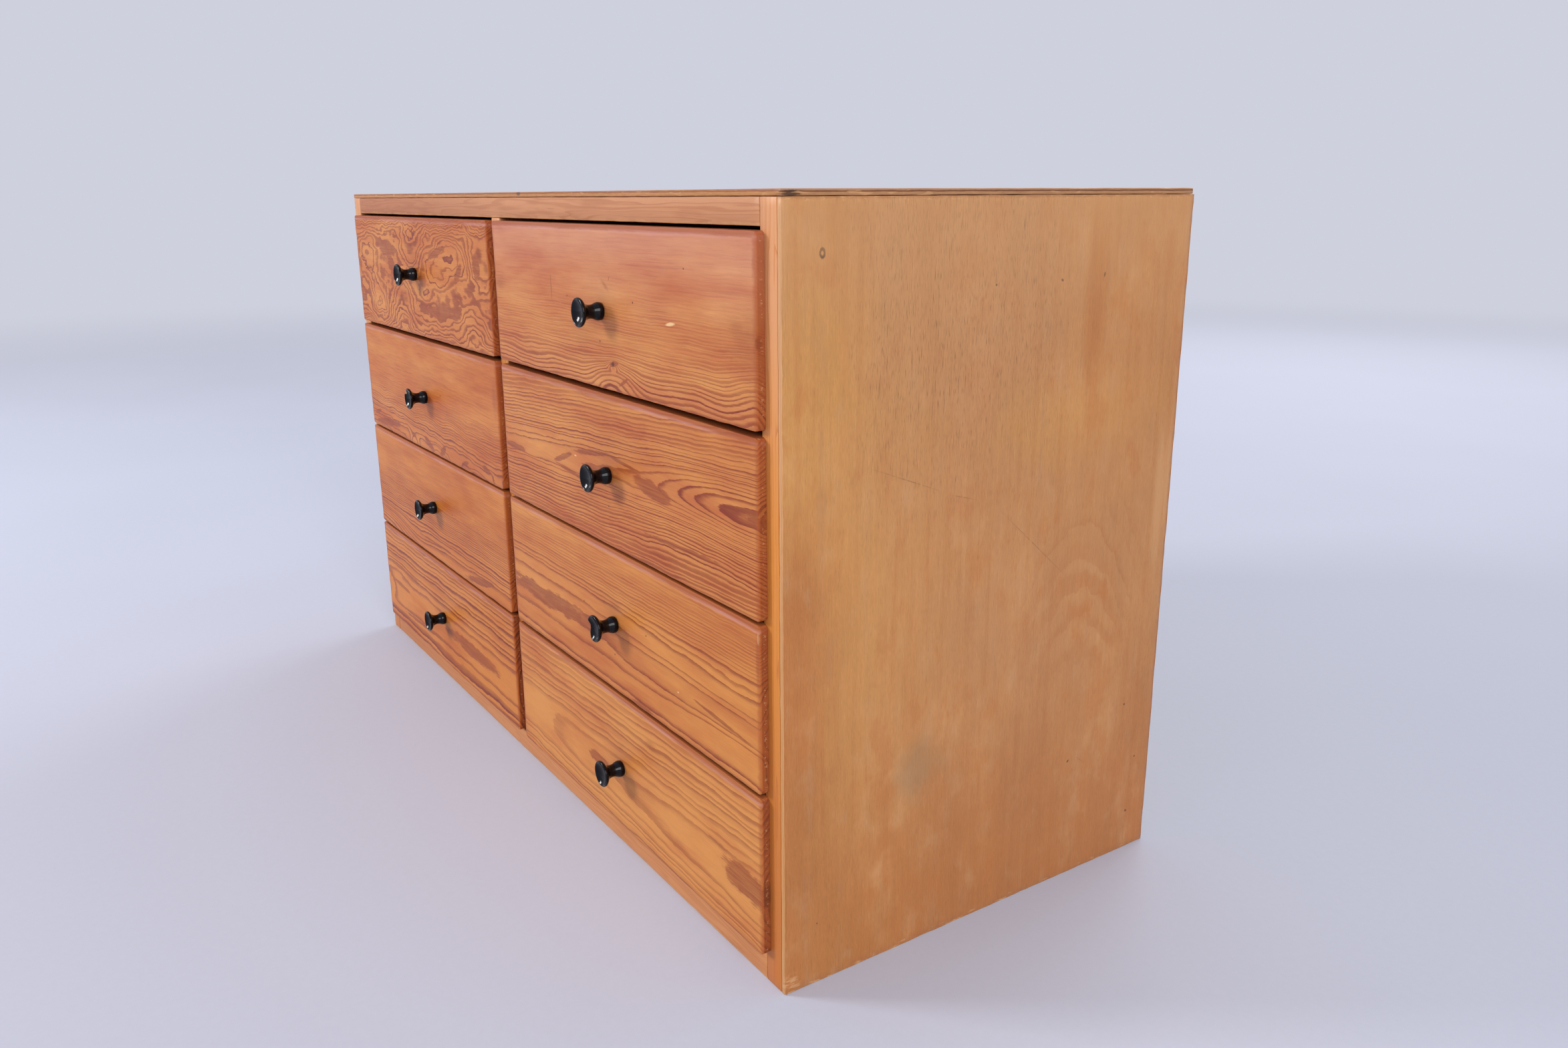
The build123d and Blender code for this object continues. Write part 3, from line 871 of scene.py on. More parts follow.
def veneer_finish(side):
    """Varnished face veneer of a side panel over the layers that its edges show."""
    look = bpy.context.scene.unit_plywood
    low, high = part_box(f"side_panel_{side}")
    right = side == "right"
    origin = (high[0], low[1], 0) if right else (low[0], low[1], 0)
    f = Finish(f"veneer_side_{side}", origin, (-1 if right else 1, 1, 1))
    deep, back, up = f.x, f.y, f.z
    depth = (high[1] - low[1]) / MM
    height = (high[2] - low[2]) / MM
    shift = 0.0 if right else 31.0

    # Soft drift of colour over the sheet
    clouds = f.sway((90, 62, 96), shift + 3)
    blots = f.sway((40, 20, 34), shift + 21)
    bands = f.sway((60, 9, 260), shift + 2, 2.0, 0.5)
    golden = f.step(back + clouds * 150 + blots * 40, 150.0, 20.0)
    golden = golden * f.step(up + clouds * 160, 500.0, 380.0)
    golden = golden.larger(side_spot(f, 245, 356, 96, 44, 0.9, clouds * 2.4) * 0.8)
    f.tint = f.mix(golden * 0.7, look.veneer, look.veneer_golden)
    low_part = f.step(up + clouds * 240, 230.0, 20.0)
    front_low = f.step(back + blots * 50, 62.0, 8.0) * f.step(up + clouds * 200, 360.0, 250.0)
    f.lay((low_part * 0.7).larger(front_low * 0.8), look.veneer_red)
    f.lay(f.step(blots + clouds * 0.6, 0.02, 0.2) * 0.4, look.veneer_red)
    f.lay(f.step(blots - clouds * 0.5, 0.0, -0.3) * 0.36, look.veneer_pale)
    patch = side_spot(f, 300, 400, 90, 130, 1.0, clouds * 2 + blots)
    f.lay(patch * 0.2, look.veneer_red)
    f.lay(f.step(bands, -0.02, 0.24) * 0.3, look.veneer_red)
    f.lay(f.step(bands + blots * 0.6, -0.04, -0.24) * 0.24, look.veneer_grey)

    # Faint nested arches of flat-cut veneer, and a redder strip beside them
    drop = (back - 250) ** 2.0 * 0.02
    arch = (276 - up - drop) / 26 + clouds * 1.6 + blots * 1.2 + 20
    line, _ = rings_to_late_wood(f, arch, 0.25, 0.6, 1.2)
    area = f.hill((0, 256, 224), (ALL_THROUGH, 100, 110), 1.4)
    f.lay(line * area * 0.5, look.veneer_red)
    ragged = bands * 0.9 + blots * 0.5
    strip = side_spot(f, 251, 426, 13, 76, 0.6, ragged * 1.3)
    strip = strip.larger(side_spot(f, 322, 452, 9, 30, 0.8, ragged) * 0.7)
    f.lay(strip * 0.6, look.veneer_red)

    # Fibres and short dark pores, densest in the upper part
    fibres = f.sway((0.6, 0.55, 22), shift, 3.0, 0.62)
    streaks = f.sway((2, 1.6, 46), shift + 1)
    fine = f.sway((0.4, 0.32, 5), shift + 16, 2.0)
    upper = f.step(up + clouds * 200 + blots * 60, height * 0.5, height * 0.86)
    from_front = back + blots * 60
    # Upper front part of the side: its greyer tint is a painted sheen, its denser pores hold dust
    dust_and_sheen = upper * f.step(from_front, 30.0, 80.0) * f.step(from_front, 250.0, 190.0)
    dusky = side_spot(f, 200, 210, 120, 110, 1.0, clouds * 3 + blots) * 0.6
    pores = f.step(f.grain((0.6, 0.42, 7), shift + 4, 1.0, 0.5), 0.56, 0.72)
    long_pores = f.step(f.grain((1, 0.9, 16), shift + 5, 2.0, 0.5), 0.58, 0.74)
    # Painted sheen: grey over the upper front part; grey also over a patch lower in the middle
    f.lay(dust_and_sheen.larger(dusky) * 0.4, look.veneer_grey)
    pores = pores * (dust_and_sheen * 0.8 + 0.3) + long_pores * (dust_and_sheen * 0.8 + 0.16)
    broad = f.sway((30, 5, 90), shift + 17)
    shade = fibres * 0.3 + streaks * 0.12 + fine * 0.44 + clouds * 0.34 + broad * 0.18
    f.tone(shade + blots * 0.12 + 1.0 - pores * 0.34)

    if right:
        smudge = side_spot(f, 106, 126, 29, 30, 0.8, clouds * 1.2 + blots + fine * 0.6)
        f.lay(smudge * 0.42, look.smudge)
        pale = side_spot(f, 334, 287, 13, 76, 0.8, fibres * 1.6 + bands)
        f.lay(pale * 0.5, look.veneer_pale)
        dent = (0, DENT_BACK / MM, DENT_UP / MM)
        ring = f.reach(dent, (ALL_THROUGH, 1.8, 2.6)) + blots * 0.6 + fine * 0.5
        rim = f.step(ring, 0.35, 0.65) * f.step(ring, 1.4, 1.05)
        rim = rim * f.step(up, 472.0, 462.0).larger(0.75)
        f.lay(rim, look.stain)
        f.lay(side_marks(f, SIDE_DARK_MARKS, 0.5) * 0.7, look.stain)
        broken = f.step(f.grain((2, 4, 4), 2.0, 2.0), 0.25, 0.6)
        f.lay(side_marks(f, SIDE_SCRATCHES, 0.8) * broken * 0.34, look.stain)

    # Cut edges: pale layers between thin dark glue lines, more orange lower down
    wavy = deep + f.sway((3, 3, 16), shift + 6) * 0.35
    layer = f.shade(look.edge_pale, f.sway((0.4, 3, 20), shift + 8) * 0.36 + 1.0)
    layer = f.mix(f.step(up + clouds * 160, 430.0, 120.0) * 0.6, layer, look.veneer_golden)
    lines = f.step(wavy, 0.75, 0.95) * f.step(wavy, 1.25, 1.05)
    lines = lines.larger(f.step(wavy, 1.7, 1.9) * f.step(wavy, 2.2, 2.0) * 0.6)
    lines = lines.larger(f.step(wavy, 3.55, 3.8) * 0.9)
    layer = f.mix(lines * 0.85, layer, look.core)
    f.lay(f.step(deep, 0.25, 0.4), layer)

    # Old dirt and pale scuffs along the top and the foot
    rough_edge = f.sway((6, 9, 9), shift + 5, 4.0, 0.65)
    scuffs = f.grain((5, 12, 2.4), shift + 11)
    from_top = height - up
    f.lay(f.step(from_top + clouds * 40, 110.0, 0.0) * 0.3, look.veneer_pale)
    f.lay(f.step(from_top + rough_edge * 4, 2.2, 0.4) * 0.4, look.core)
    specks = f.step(f.grain((5, 4, 1.6), shift + 19, 3.0, 0.7), 0.54, 0.66)
    f.lay(specks * f.step(from_top, 4.4, 1.4) * 0.55, look.edge_pale)
    near_foot = f.step(up + rough_edge * 6, 4.0, 1.0)
    f.lay(f.step(scuffs, 0.55, 0.64) * near_foot * 0.8, look.edge_pale)
    foot = side_spot(f, 4, 5, 10, 13, 0.9, rough_edge * 2.4)
    f.lay(foot * f.step(scuffs, 0.46, 0.58) * 0.7, look.edge_pale)
    # Darker along the rear edge
    rear = f.step(depth - back + rough_edge * 4, 3.0, 0.6)
    f.lay(rear * 0.5, look.core)

    relief = f.bump(fibres * 0.6 + fine * 0.3 - pores * 0.3, 0.00008)
    return f.close(0.42 + clouds * 0.25, relief, 0.05, 0.2, 0.22)


def top_finish():
    """Varnished plywood top with a dirty, chipped edge."""
    look = bpy.context.scene.unit_plywood
    low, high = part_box("top_panel")
    f = Finish("veneer_top", (low[0], low[1], high[2]), (1, 1, -1))
    along, back, deep = f.x, f.y, f.z
    width = (high[0] - low[0]) / MM
    depth = (high[1] - low[1]) / MM

    # Face veneer
    fibres = f.grain((22, 0.55, 0.6), 51, 3.0, 0.62)
    fine = f.grain((5, 0.32, 0.4), 52, 2.0)
    bands = f.grain((320, 20, 60), 53, 3.0, 0.55)
    clouds = f.grain((120, 80, 90), 54)
    f.tint = f.mix(f.step(clouds, 0.35, 0.65) * 0.5, look.veneer, look.veneer_golden)
    f.lay(f.step(bands, 0.4, 0.75) * 0.4, look.veneer_red)
    f.lay(f.step(clouds - bands * 0.4, 0.26, 0.4) * 0.3, look.veneer_grey)
    arch = (along + (back - 190) ** 2.0 * 0.02) / 38 + (clouds - 0.5) * 2.2 + 20
    age = arch.maths("FRACT")
    line = f.step(age, 0.35, 0.95) * f.step(age, 1.0, 0.94)
    f.lay(line * f.hill((420, 190, 0), (420, 110, 60), 0.5), look.veneer_red)
    dashes = f.step(f.grain((7, 0.42, 0.5), 56, 1.0, 0.5), 0.6, 0.72)
    f.tone((fibres - 0.5) * 0.18 + (fine - 0.5) * 0.12 + 1.0 - dashes * 0.12)
    worn = f.step(f.grain((60, 40, 40), 57, 4.0, 0.7), 0.56, 0.72)
    f.lay(worn * 0.3, look.veneer_pale)

    # Edge layers from the top down
    wavy = deep + f.sway((14, 14, 3), 58) * 0.9
    pale = f.step(wavy, 1.3, 1.9) * f.step(wavy, 3.9, 3.2)
    layers = f.mix(f.step(wavy, 0.2, 0.8), f.tint, look.core)
    layers = f.mix(pale, layers, look.veneer)
    at_right = f.step(along + (clouds - 0.5) * 4, width - 3.0, width - 1.0)
    middle = f.step(wavy, 0.9, 1.3) * f.step(wavy, 2.2, 1.7)
    grimy = f.mix(middle, look.worn_layer, look.dirty_layer)
    grimy = f.mix(f.step(wavy, 3.0, 4.0) * 0.6, grimy, look.lowest_layer)
    layers = f.mix(at_right * 0.85, layers, grimy)
    mottle = f.sway((8, 8, 1.2), 59, 4.0, 0.7)
    layers = f.shade(layers, mottle * 0.7 + 1.0)
    f.lay(f.step(deep, 0.2, 0.45), layers)

    # Stains, chips and dirt along the edges
    stains = f.spot((width - 1, 7, 2.5), (14, 7.5, 2.4), 0, 0.5, mottle * 1.2)
    stains = stains.larger(f.spot((472, 0, 1.2), (5, 8, 1.8), 0, 0.6, mottle) * 0.7)
    f.lay(stains * 0.85, look.stain)
    chips = f.step(f.grain((16, 16, 3), 60, 2.0), 0.6, 0.66) * f.step(deep, 0.4, 1.0)
    f.lay(chips * 0.5, look.veneer_pale)
    edge = along.smaller(width - along).smaller(back).smaller(depth - back)
    dirt = f.step(edge + mottle * 5, 5, 0.5) * f.step(deep, 0.4, 0.2)
    f.lay(dirt * 0.45, look.core)
    relief = f.bump(fibres * 0.6 + fine * 0.3 - dashes * 0.3, 0.00008)
    return f.close(0.42 + (clouds - 0.5) * 0.25, relief, 0.03, 0.3, 0.12)


def lacquer_finish(name, chip=None):
    """Glossy black lacquer with dust and rubbed spots; chip is where bare wood shows."""
    look = bpy.context.scene.unit_knobs
    f = Finish(name)
    dust = f.grain((3.2, 3.2, 3.2), 3)
    wear = f.step(f.grain((4, 4, 4), 8, 4.0, 0.7), 0.62, 0.72)
    f.tint = f.mix(wear * 0.4, look.lacquer, look.patches)
    roughness = (dust - 0.5) * 0.06 + 0.1 + wear * 0.12
    if chip is not None:
        centre, sizes = ([each / MM for each in part] for part in chip)
        bare = f.spot(centre, sizes, 0, 0.25, (dust - 0.5) * 0.7)
        f.lay(bare, look.bare_wood)
        roughness = roughness + bare * 0.5
    return f.close(roughness, f.bump(dust, 0.00003), gloss=0.22)


def steel_finish():
    """Dull pin heads with brown specks."""
    look = bpy.context.scene.unit_inside
    f = Finish("pin_steel")
    specks = f.grain((0.5, 0.5, 0.5), 0.0, 3.0, 0.7)
    rust = f.step(specks, 0.52, 0.66)
    f.tint = f.mix(rust * 0.7, look.steel, look.rust)
    return f.close(rust * 0.35 + 0.35, f.bump(specks, 0.00006), metal=1 - rust * 0.8)


# ------------------------------------------------------------------- shaping

# How far from an edge handling wears a board, and how fine a worn mesh is, in metres
EDGE_REACH = 0.004
FRONT_PITCH = 0.004
STICK_PITCH = 0.006
TOP_PITCH = 0.007


def start_block(low, high):
    """A bmesh block between two corners, in metres."""
    bm = bmesh.new()
    size = [b - a for a, b in zip(low, high)]
    middle = [(a + b) / 2 for a, b in zip(low, high)]
    place = Matrix.Translation(middle) @ Matrix.Diagonal((*size, 1))
    bmesh.ops.create_cube(bm, size=1.0, matrix=place)
    return bm


def split_at(bm, axis, place, geometry=None):
    """Cuts the mesh along the plane where this axis has this value."""
    point = Vector((0, 0, 0))
    point[axis] = place
    direction = Vector((0, 0, 0))
    direction[axis] = 1
    if geometry is None:
        geometry = bm.verts[:] + bm.edges[:] + bm.faces[:]
    bmesh.ops.bisect_plane(bm, geom=geometry, plane_co=point, plane_no=direction, dist=1e-7)


def slice_up(bm, axis, low, high, pitch):
    """Cuts the mesh into even slices, so that wear has points to move."""
    count = max(1, round((high - low) / pitch))
    for index in range(1, count):
        split_at(bm, axis, low + (high - low) * index / count)


def flat_face(bm, place, middle, reach):
    """The face in the plane y = place whose middle lies within reach of x = middle."""
    flat = [f for f in bm.faces if all(abs(v.co.y - place) < 1e-6 for v in f.verts)]
    return next(f for f in flat if abs(f.calc_center_median().x - middle) < reach)


def push_back(bm, face, distance):
    """Extrudes one flat face backwards and gives the new end face."""
    grown = bmesh.ops.extrude_face_region(bm, geom=[face])["geom"]
    verts = [g for g in grown if isinstance(g, bmesh.types.BMVert)]
    faces = [g for g in grown if isinstance(g, bmesh.types.BMFace)]
    bmesh.ops.delete(bm, geom=[face], context="FACES_ONLY")
    bmesh.ops.translate(bm, verts=verts, vec=Vector((0, distance, 0)))
    return faces[0]


def round_off(bm, edges, radius, segments):
    """Rounds these edges."""
    bmesh.ops.bevel(
        bm,
        geom=edges,
        offset=radius,
        offset_type="OFFSET",
        affect="EDGES",
        segments=segments,
        profile=0.5,
        material=-1,
        clamp_overlap=True,
    )


def wear_edges(bm, low, high, depth, seed):
    """Rubs the outer edges down unevenly: points near two outer faces at once move inwards."""
    middle = [(a + b) / 2 for a, b in zip(low, high)]
    for vert in bm.verts:
        near = sorted(
            (min(vert.co[axis] - low[axis], high[axis] - vert.co[axis]), axis) for axis in range(3)
        )
        second_gap = near[1][0]
        if second_gap > EDGE_REACH:
            continue
        place = Vector(vert.co) * 70 + Vector((seed, seed * 0.37, seed * 1.7))
        rub = noise.fractal(place, 0.7, 2.0, 3) * 0.5 + 0.35
        rub += 0.6 * max(0.0, noise.noise(place * 3.1) - 0.35)
        rub = max(0.0, rub) * (1 - second_gap / EDGE_REACH)
        for _, axis in near[:2]:
            side = 1 if vert.co[axis] > middle[axis] else -1
            vert.co[axis] -= side * rub * depth * 0.7


def worn_board(low, high, look, seed, pitch, back_corners=0.0):
    """A board between two corners with eased, worn edges; back_corners rounds the rear two."""
    bm = start_block(low, high)
    if back_corners:
        upright = [
            e
            for e in bm.edges
            if abs(e.verts[0].co.z - e.verts[1].co.z) > 1e-4
            and e.verts[0].co.y > (low[1] + high[1]) / 2
        ]
        round_off(bm, upright, back_corners, 5)
    sharp = [e for e in bm.edges if e.calc_face_angle(0) > 0.8]
    round_off(bm, sharp, look.edge_radius, 2)
    for axis in range(3):
        if high[axis] - low[axis] > 3 * pitch:
            slice_up(bm, axis, low[axis], high[axis], pitch)
    wear_edges(bm, low, high, look.wear_depth, seed)
    return bm


def as_piece(bm, name, body, nodes, materials, sharp=34.0):
    """Makes the mesh a piece of the unit that rides on its body and stands for its nodes."""
    bmesh.ops.recalc_face_normals(bm, faces=bm.faces[:])
    mesh = bpy.data.meshes.new(name)
    bm.to_mesh(mesh)
    bm.free()
    mesh.shade_smooth()
    mesh.set_sharp_from_angle(angle=math.radians(sharp))
    piece = bpy.data.objects.new(name, mesh)
    bpy.context.scene.collection.objects.link(piece)
    for material in materials:
        mesh.materials.append(material)
    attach(piece, body)
    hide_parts(*nodes)


def dress(nodes, finish):
    """Gives CAD nodes that show as they are their finish."""
    for node in nodes:
        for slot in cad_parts[node].material_slots:
            slot.material = finish


# -------------------------------------------------------------------- pieces


def front_board(drawer, look):
    """One front: a lip with eased edges, and a plug behind it between seats for the sides."""
    low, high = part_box(f"drawer_{drawer}_front")
    left_side_low, left_side_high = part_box(f"drawer_{drawer}_side_left")
    right_side_low, right_side_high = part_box(f"drawer_{drawer}_side_right")
    seat_y = left_side_low[1]
    stile_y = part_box("front_stiles")[0][1]
    bm = start_block(low, (high[0], stile_y, high[2]))
    for place in (left_side_low[0], right_side_high[0]):
        split_at(bm, 0, place)
    middle = (left_side_low[0] + right_side_high[0]) / 2
    seat = push_back(bm, flat_face(bm, stile_y, middle, 0.01), seat_y - stile_y)
    for place in (left_side_high[0], right_side_low[0]):
        split_at(bm, 0, place, [seat, *seat.edges, *seat.verts])
        seat = flat_face(bm, seat_y, middle, 0.02)
    push_back(bm, seat, high[1] - seat_y)

    def at_end(vert):
        return min(vert.co.x - low[0], high[0] - vert.co.x) < 1e-6

    corners = [
        e
        for e in bm.edges
        if all(at_end(v) for v in e.verts) and abs(e.verts[0].co.y - e.verts[1].co.y) > 1e-4
    ]
    round_off(bm, corners, look.corner_radius, 4)
    face = [
        e
        for e in bm.edges
        if all(v.co.y < low[1] + 1e-6 for v in e.verts)
        and any(f.normal.y > -0.9 for f in e.link_faces)
    ]
    round_off(bm, face, look.arris_radius, 5)
    return bm, low, high


class UNIT_OT_fronts(bpy.types.Operator):
    """Models the eight pine drawer fronts"""

    bl_idname = "unit.fronts"
    bl_label = "Drawer Fronts"

    def execute(self, context):
        look = context.scene.unit_fronts
        for index, drawer in enumerate(DRAWERS):
            bm, low, high = front_board(drawer, look)
            slice_up(bm, 0, low[0], high[0], FRONT_PITCH)
            slice_up(bm, 2, low[2], high[2], FRONT_PITCH)
            wear_edges(bm, low, high, look.wear_depth, 5.0 + index)
            body = f"drawer_{drawer}"
            nodes = [f"{body}_front"]
            as_piece(bm, f"front_board_{drawer}", body, nodes, [pine_front(drawer)])
        return {"FINISHED"}


# Profile of a knob: (distance from the front, radius) in millimetres, from the tenon
# to the middle of the dish. The sizes in the settings stretch it.
KNOB_PROFILE = (
    (-13.0, 0.0), (-13.0, 3.6), (-12.6, 3.95), (-0.05, 3.95), (-0.05, 5.6), (0.25, 5.95),
    (0.9, 6.22), (2.0, 6.38), (3.2, 6.34), (4.5, 5.95), (5.7, 5.4), (7.0, 4.96), (8.6, 4.8),
    (10.3, 4.95), (11.8, 5.5), (13.1, 6.45), (14.2, 7.7), (15.1, 9.0), (15.8, 9.8),
    (16.6, 10.15), (17.3, 10.18), (17.8, 9.95), (17.98, 9.55), (17.85, 9.1), (17.2, 8.35),
    (16.3, 7.0), (15.5, 5.3), (14.95, 3.6), (14.65, 1.8), (14.6, 0.0),
)
# Its points before this one keep their sharp corners
SMOOTH_FROM = 5
# Where the waist, the neck above it and the dish lie, in millimetres
WAIST_OUT = 8.6
WAIST_REACH = 5
NECK_OUT = 10.5
DISH_OUT = 14.55
DISH_RADIUS = 9.4


def smooth_line(points, steps):
    """Points on a smooth curve through these points."""
    line = []
    for index in range(len(points) - 1):
        before = Vector(points[max(index - 1, 0)])
        start, end = Vector(points[index]), Vector(points[index + 1])
        after = Vector(points[min(index + 2, len(points) - 1)])
        for step in range(steps):
            t = step / steps
            spread = 2 * start + (end - before) * t
            spread += (2 * before - 5 * start + 4 * end - after) * t * t
            spread += (3 * start - before - 3 * end + after) * t * t * t
            line.append(spread / 2)
    line.append(Vector(points[-1]))
    return line


def turned_knob(centre, look):
    """The knob's profile spun about its axis."""
    bm = bmesh.new()
    line = [Vector(p) for p in KNOB_PROFILE[:SMOOTH_FROM]]
    line += smooth_line(KNOB_PROFILE[SMOOTH_FROM:], 3)
    stretch = look.face_radius / FACE_RADIUS
    thicker = look.waist_radius - WAIST_RADIUS
    lower = look.dish_depth - DISH_DEPTH
    verts = []
    for out, radius in line:
        waist = thicker * max(0.0, 1 - abs(out - WAIST_OUT) / WAIST_REACH)
        dish = lower * max(0.0, 1 - radius / DISH_RADIUS) if out > DISH_OUT else 0.0
        wide = radius * MM * (stretch if out > 0 else 1.0) + waist
        verts.append(bm.verts.new((centre.x + wide, centre.y - out * MM + dish, centre.z)))
    edges = [bm.edges.new(pair) for pair in zip(verts, verts[1:])]
    bmesh.ops.spin(
        bm,
        geom=verts + edges,
        cent=centre,
        axis=(0, 1, 0),
        angle=math.tau,
        steps=56,
        use_merge=True,
        use_duplicate=False,
    )
    bmesh.ops.remove_doubles(bm, verts=bm.verts[:], dist=1e-6)
    return bm


def break_rim(bm, centre, start, end, depth, lift):
    """Breaks the rim away between two angles, sharply at start and slanting out to end."""
    for vert in bm.verts:
        out = (centre.y - vert.co.y) / MM
        flat = Vector((vert.co.x - centre.x, 0, vert.co.z - centre.z))
        radius = flat.length
        angle = math.degrees(math.atan2(flat.z, flat.x)) % 360
        if out < NECK_OUT or radius < 1e-5 or not start - 6 < angle < end:
            continue
        rise = min(1.0, (angle - start + 6) / 12)
        fall = min(1.0, (end - angle) / ((end - start) * 0.6))
        ragged = 1 + 0.25 * noise.noise(Vector((angle * 0.09, out * 0.4, 2.0)))
        bite = depth * min(rise, fall) * ragged
        outer = min(1.0, max(0.0, (radius / MM - 4) / 5))
        vert.co.x -= flat.x / radius * bite * outer
        vert.co.z -= flat.z / radius * bite * outer
        vert.co.y += lift * min(rise, fall) * outer


# Knobs with a broken rim: (start angle, end angle, depth, lift, bare wood shows)
BROKEN_RIMS = {
    "left_2": (118, 160, 0.0012, 0.0007, True),
    "right_3": (158, 246, 0.0033, 0.0010, False),
}
# Place of the bare wood on a broken rim, from the knob's middle and its base, and its size
BARE_RADIUS = 0.0091
BARE_OUT = 0.0174
BARE_SIZES = (0.0024, 0.0016, 0.0026)


class UNIT_OT_knobs(bpy.types.Operator):
    """Turns the eight black knobs and breaks the rims that are damaged"""

    bl_idname = "unit.knobs"
    bl_label = "Knobs"

    def execute(self, context):
        look = context.scene.unit_knobs
        plain = lacquer_finish("knob_lacquer")
        for drawer in DRAWERS:
            node = f"drawer_{drawer}_knob"
            low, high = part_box(node)
            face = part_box(f"drawer_{drawer}_front")[0][1]
            centre = Vector(((low[0] + high[0]) / 2, face, (low[2] + high[2]) / 2))
            bm = turned_knob(centre, look)
            finish = plain
            if drawer in BROKEN_RIMS:
                start, end, depth, lift, bare = BROKEN_RIMS[drawer]
                break_rim(bm, centre, start, end, depth, lift)
                if bare:
                    turn = math.radians((start + end) / 2)
                    across, up = math.cos(turn) * BARE_RADIUS, math.sin(turn) * BARE_RADIUS
                    place = centre + Vector((across, -BARE_OUT, up))
                    finish = lacquer_finish(f"knob_lacquer_{drawer}", (place, BARE_SIZES))
            body = f"drawer_{drawer}"
            as_piece(bm, f"knob_{drawer}", body, [node], [finish], sharp=50)
        return {"FINISHED"}


def press_dent(bm, place, radius, depth):
    """Presses a small hollow into the right face of the right side panel."""
    for offset in range(-5, 6):
        split_at(bm, 1, place.y + offset * 0.0009)
        split_at(bm, 2, place.z + offset * 0.0011)
    for vert in bm.verts:
        gap = vert.co - place
        if abs(gap.x) > 2e-4:
            continue
        gap.x = 0
        share = gap.length / radius
        if share < 1:
            vert.co.x -= depth * (1 - share * share) ** 2


class UNIT_OT_side_panels(bpy.types.Operator):
    """Models the two plywood side panels with worn edges"""

    bl_idname = "unit.side_panels"
    bl_label = "Side Panels"

    def execute(self, context):
        look = context.scene.unit_plywood
        for index, side in enumerate(COLUMNS):
            node = f"side_panel_{side}"
            low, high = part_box(node)
            bm = worn_board(low, high, look, 40.0 + 9 * index, STICK_PITCH)
            if side == "right":
                press_dent(bm, Vector((high[0], low[1] + DENT_BACK, DENT_UP)), 0.003, 0.0003)
            as_piece(bm, f"side_{side}", "carcass", [node], [veneer_finish(side)])
        return {"FINISHED"}


class UNIT_OT_top_panel(bpy.types.Operator):
    """Models the plywood top with rounded back corners"""

    bl_idname = "unit.top_panel"
    bl_label = "Top Panel"

    def execute(self, context):
        look = context.scene.unit_plywood
        bm = worn_board(*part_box("top_panel"), look, 71.0, TOP_PITCH, back_corners=0.003)
        as_piece(bm, "top", "carcass", ["top_panel"], [top_finish()])
        return {"FINISHED"}


class UNIT_OT_uprights(bpy.types.Operator):
    """Models the two front stiles and the divider between the columns"""

    bl_idname = "unit.uprights"
    bl_label = "Stiles and Divider"

    def execute(self, context):
        look = context.scene.unit_sticks
        low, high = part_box("front_stiles")
        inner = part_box("top_rail")[1][0]
        divider_low, divider_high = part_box("centre_divider")
        left_end = (-inner, high[1], high[2])
        right_start = (inner, low[1], low[2])
        # Name of the piece and of its finish, node, two corners, seed of the wear, shift
        for name, finish, node, start, end, seed, shift in (
            ("stile_left", "stile_pine_left", "front_stiles", low, left_end, 80.0, 3.0),
            ("stile_right", "stile_pine_right", "front_stiles", right_start, high, 87.0, 23.0),
            ("divider", "divider_pine", "centre_divider", divider_low, divider_high, 95.0, 63.0),
        ):
            bm = worn_board(start, end, look, seed, STICK_PITCH)
            pine = upright_finish(finish, (start[0], start[1], 0), shift)
            as_piece(bm, name, "carcass", [node], [pine])
        return {"FINISHED"}


class UNIT_OT_rails(bpy.types.Operator):
    """Models the top and the bottom rail"""

    bl_idname = "unit.rails"
    bl_label = "Rails"

    def execute(self, context):
        look = context.scene.unit_sticks
        for index, rail in enumerate(("top_rail", "bottom_rail")):
            low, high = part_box(rail)
            bm = worn_board(low, high, look, 101.0 + index, STICK_PITCH)
            finish = rail_finish(f"pine_{rail}", low, 7.0 + 30 * index, 0.3 * index)
            as_piece(bm, f"{rail}_stick", "carcass", [rail], [finish])
        return {"FINISHED"}


class UNIT_OT_drawer_boxes(bpy.types.Operator):
    """Finishes the sides, backs and bottoms of the drawers"""

    bl_idname = "unit.drawer_boxes"
    bl_label = "Drawer Boxes"

    def execute(self, context):
        long_wood = bare_stick("box_pine_long", 1, 12.0)
        cross_wood = bare_stick("box_pine_cross", 0, 27.0)
        ply = bare_ply("box_ply", 0, 41.0)
        for drawer in DRAWERS:
            dress([f"drawer_{drawer}_side_left", f"drawer_{drawer}_side_right"], long_wood)
            dress([f"drawer_{drawer}_back"], cross_wood)
            dress([f"drawer_{drawer}_bottom"], ply)
        return {"FINISHED"}


class UNIT_OT_inner_frame(bpy.types.Operator):
    """Finishes the runners and the posts and rails at the rear"""

    bl_idname = "unit.inner_frame"
    bl_label = "Inner Frame"

    def execute(self, context):
        dress(["drawer_runners"], bare_stick("runner_pine", 1, 55.0))
        dress(["rear_posts"], bare_stick("post_pine", 2, 66.0))
        dress(["rear_rails"], bare_stick("rear_rail_pine", 0, 77.0))
        return {"FINISHED"}


class UNIT_OT_back_panel(bpy.types.Operator):
    """Finishes the back panel and the heads of the pins"""

    bl_idname = "unit.back_panel"
    bl_label = "Back Panel and Pins"

    def execute(self, context):
        dress(["back_panel"], bare_ply("back_ply", 0, 88.0))
        dress(["panel_pins"], steel_finish())
        return {"FINISHED"}


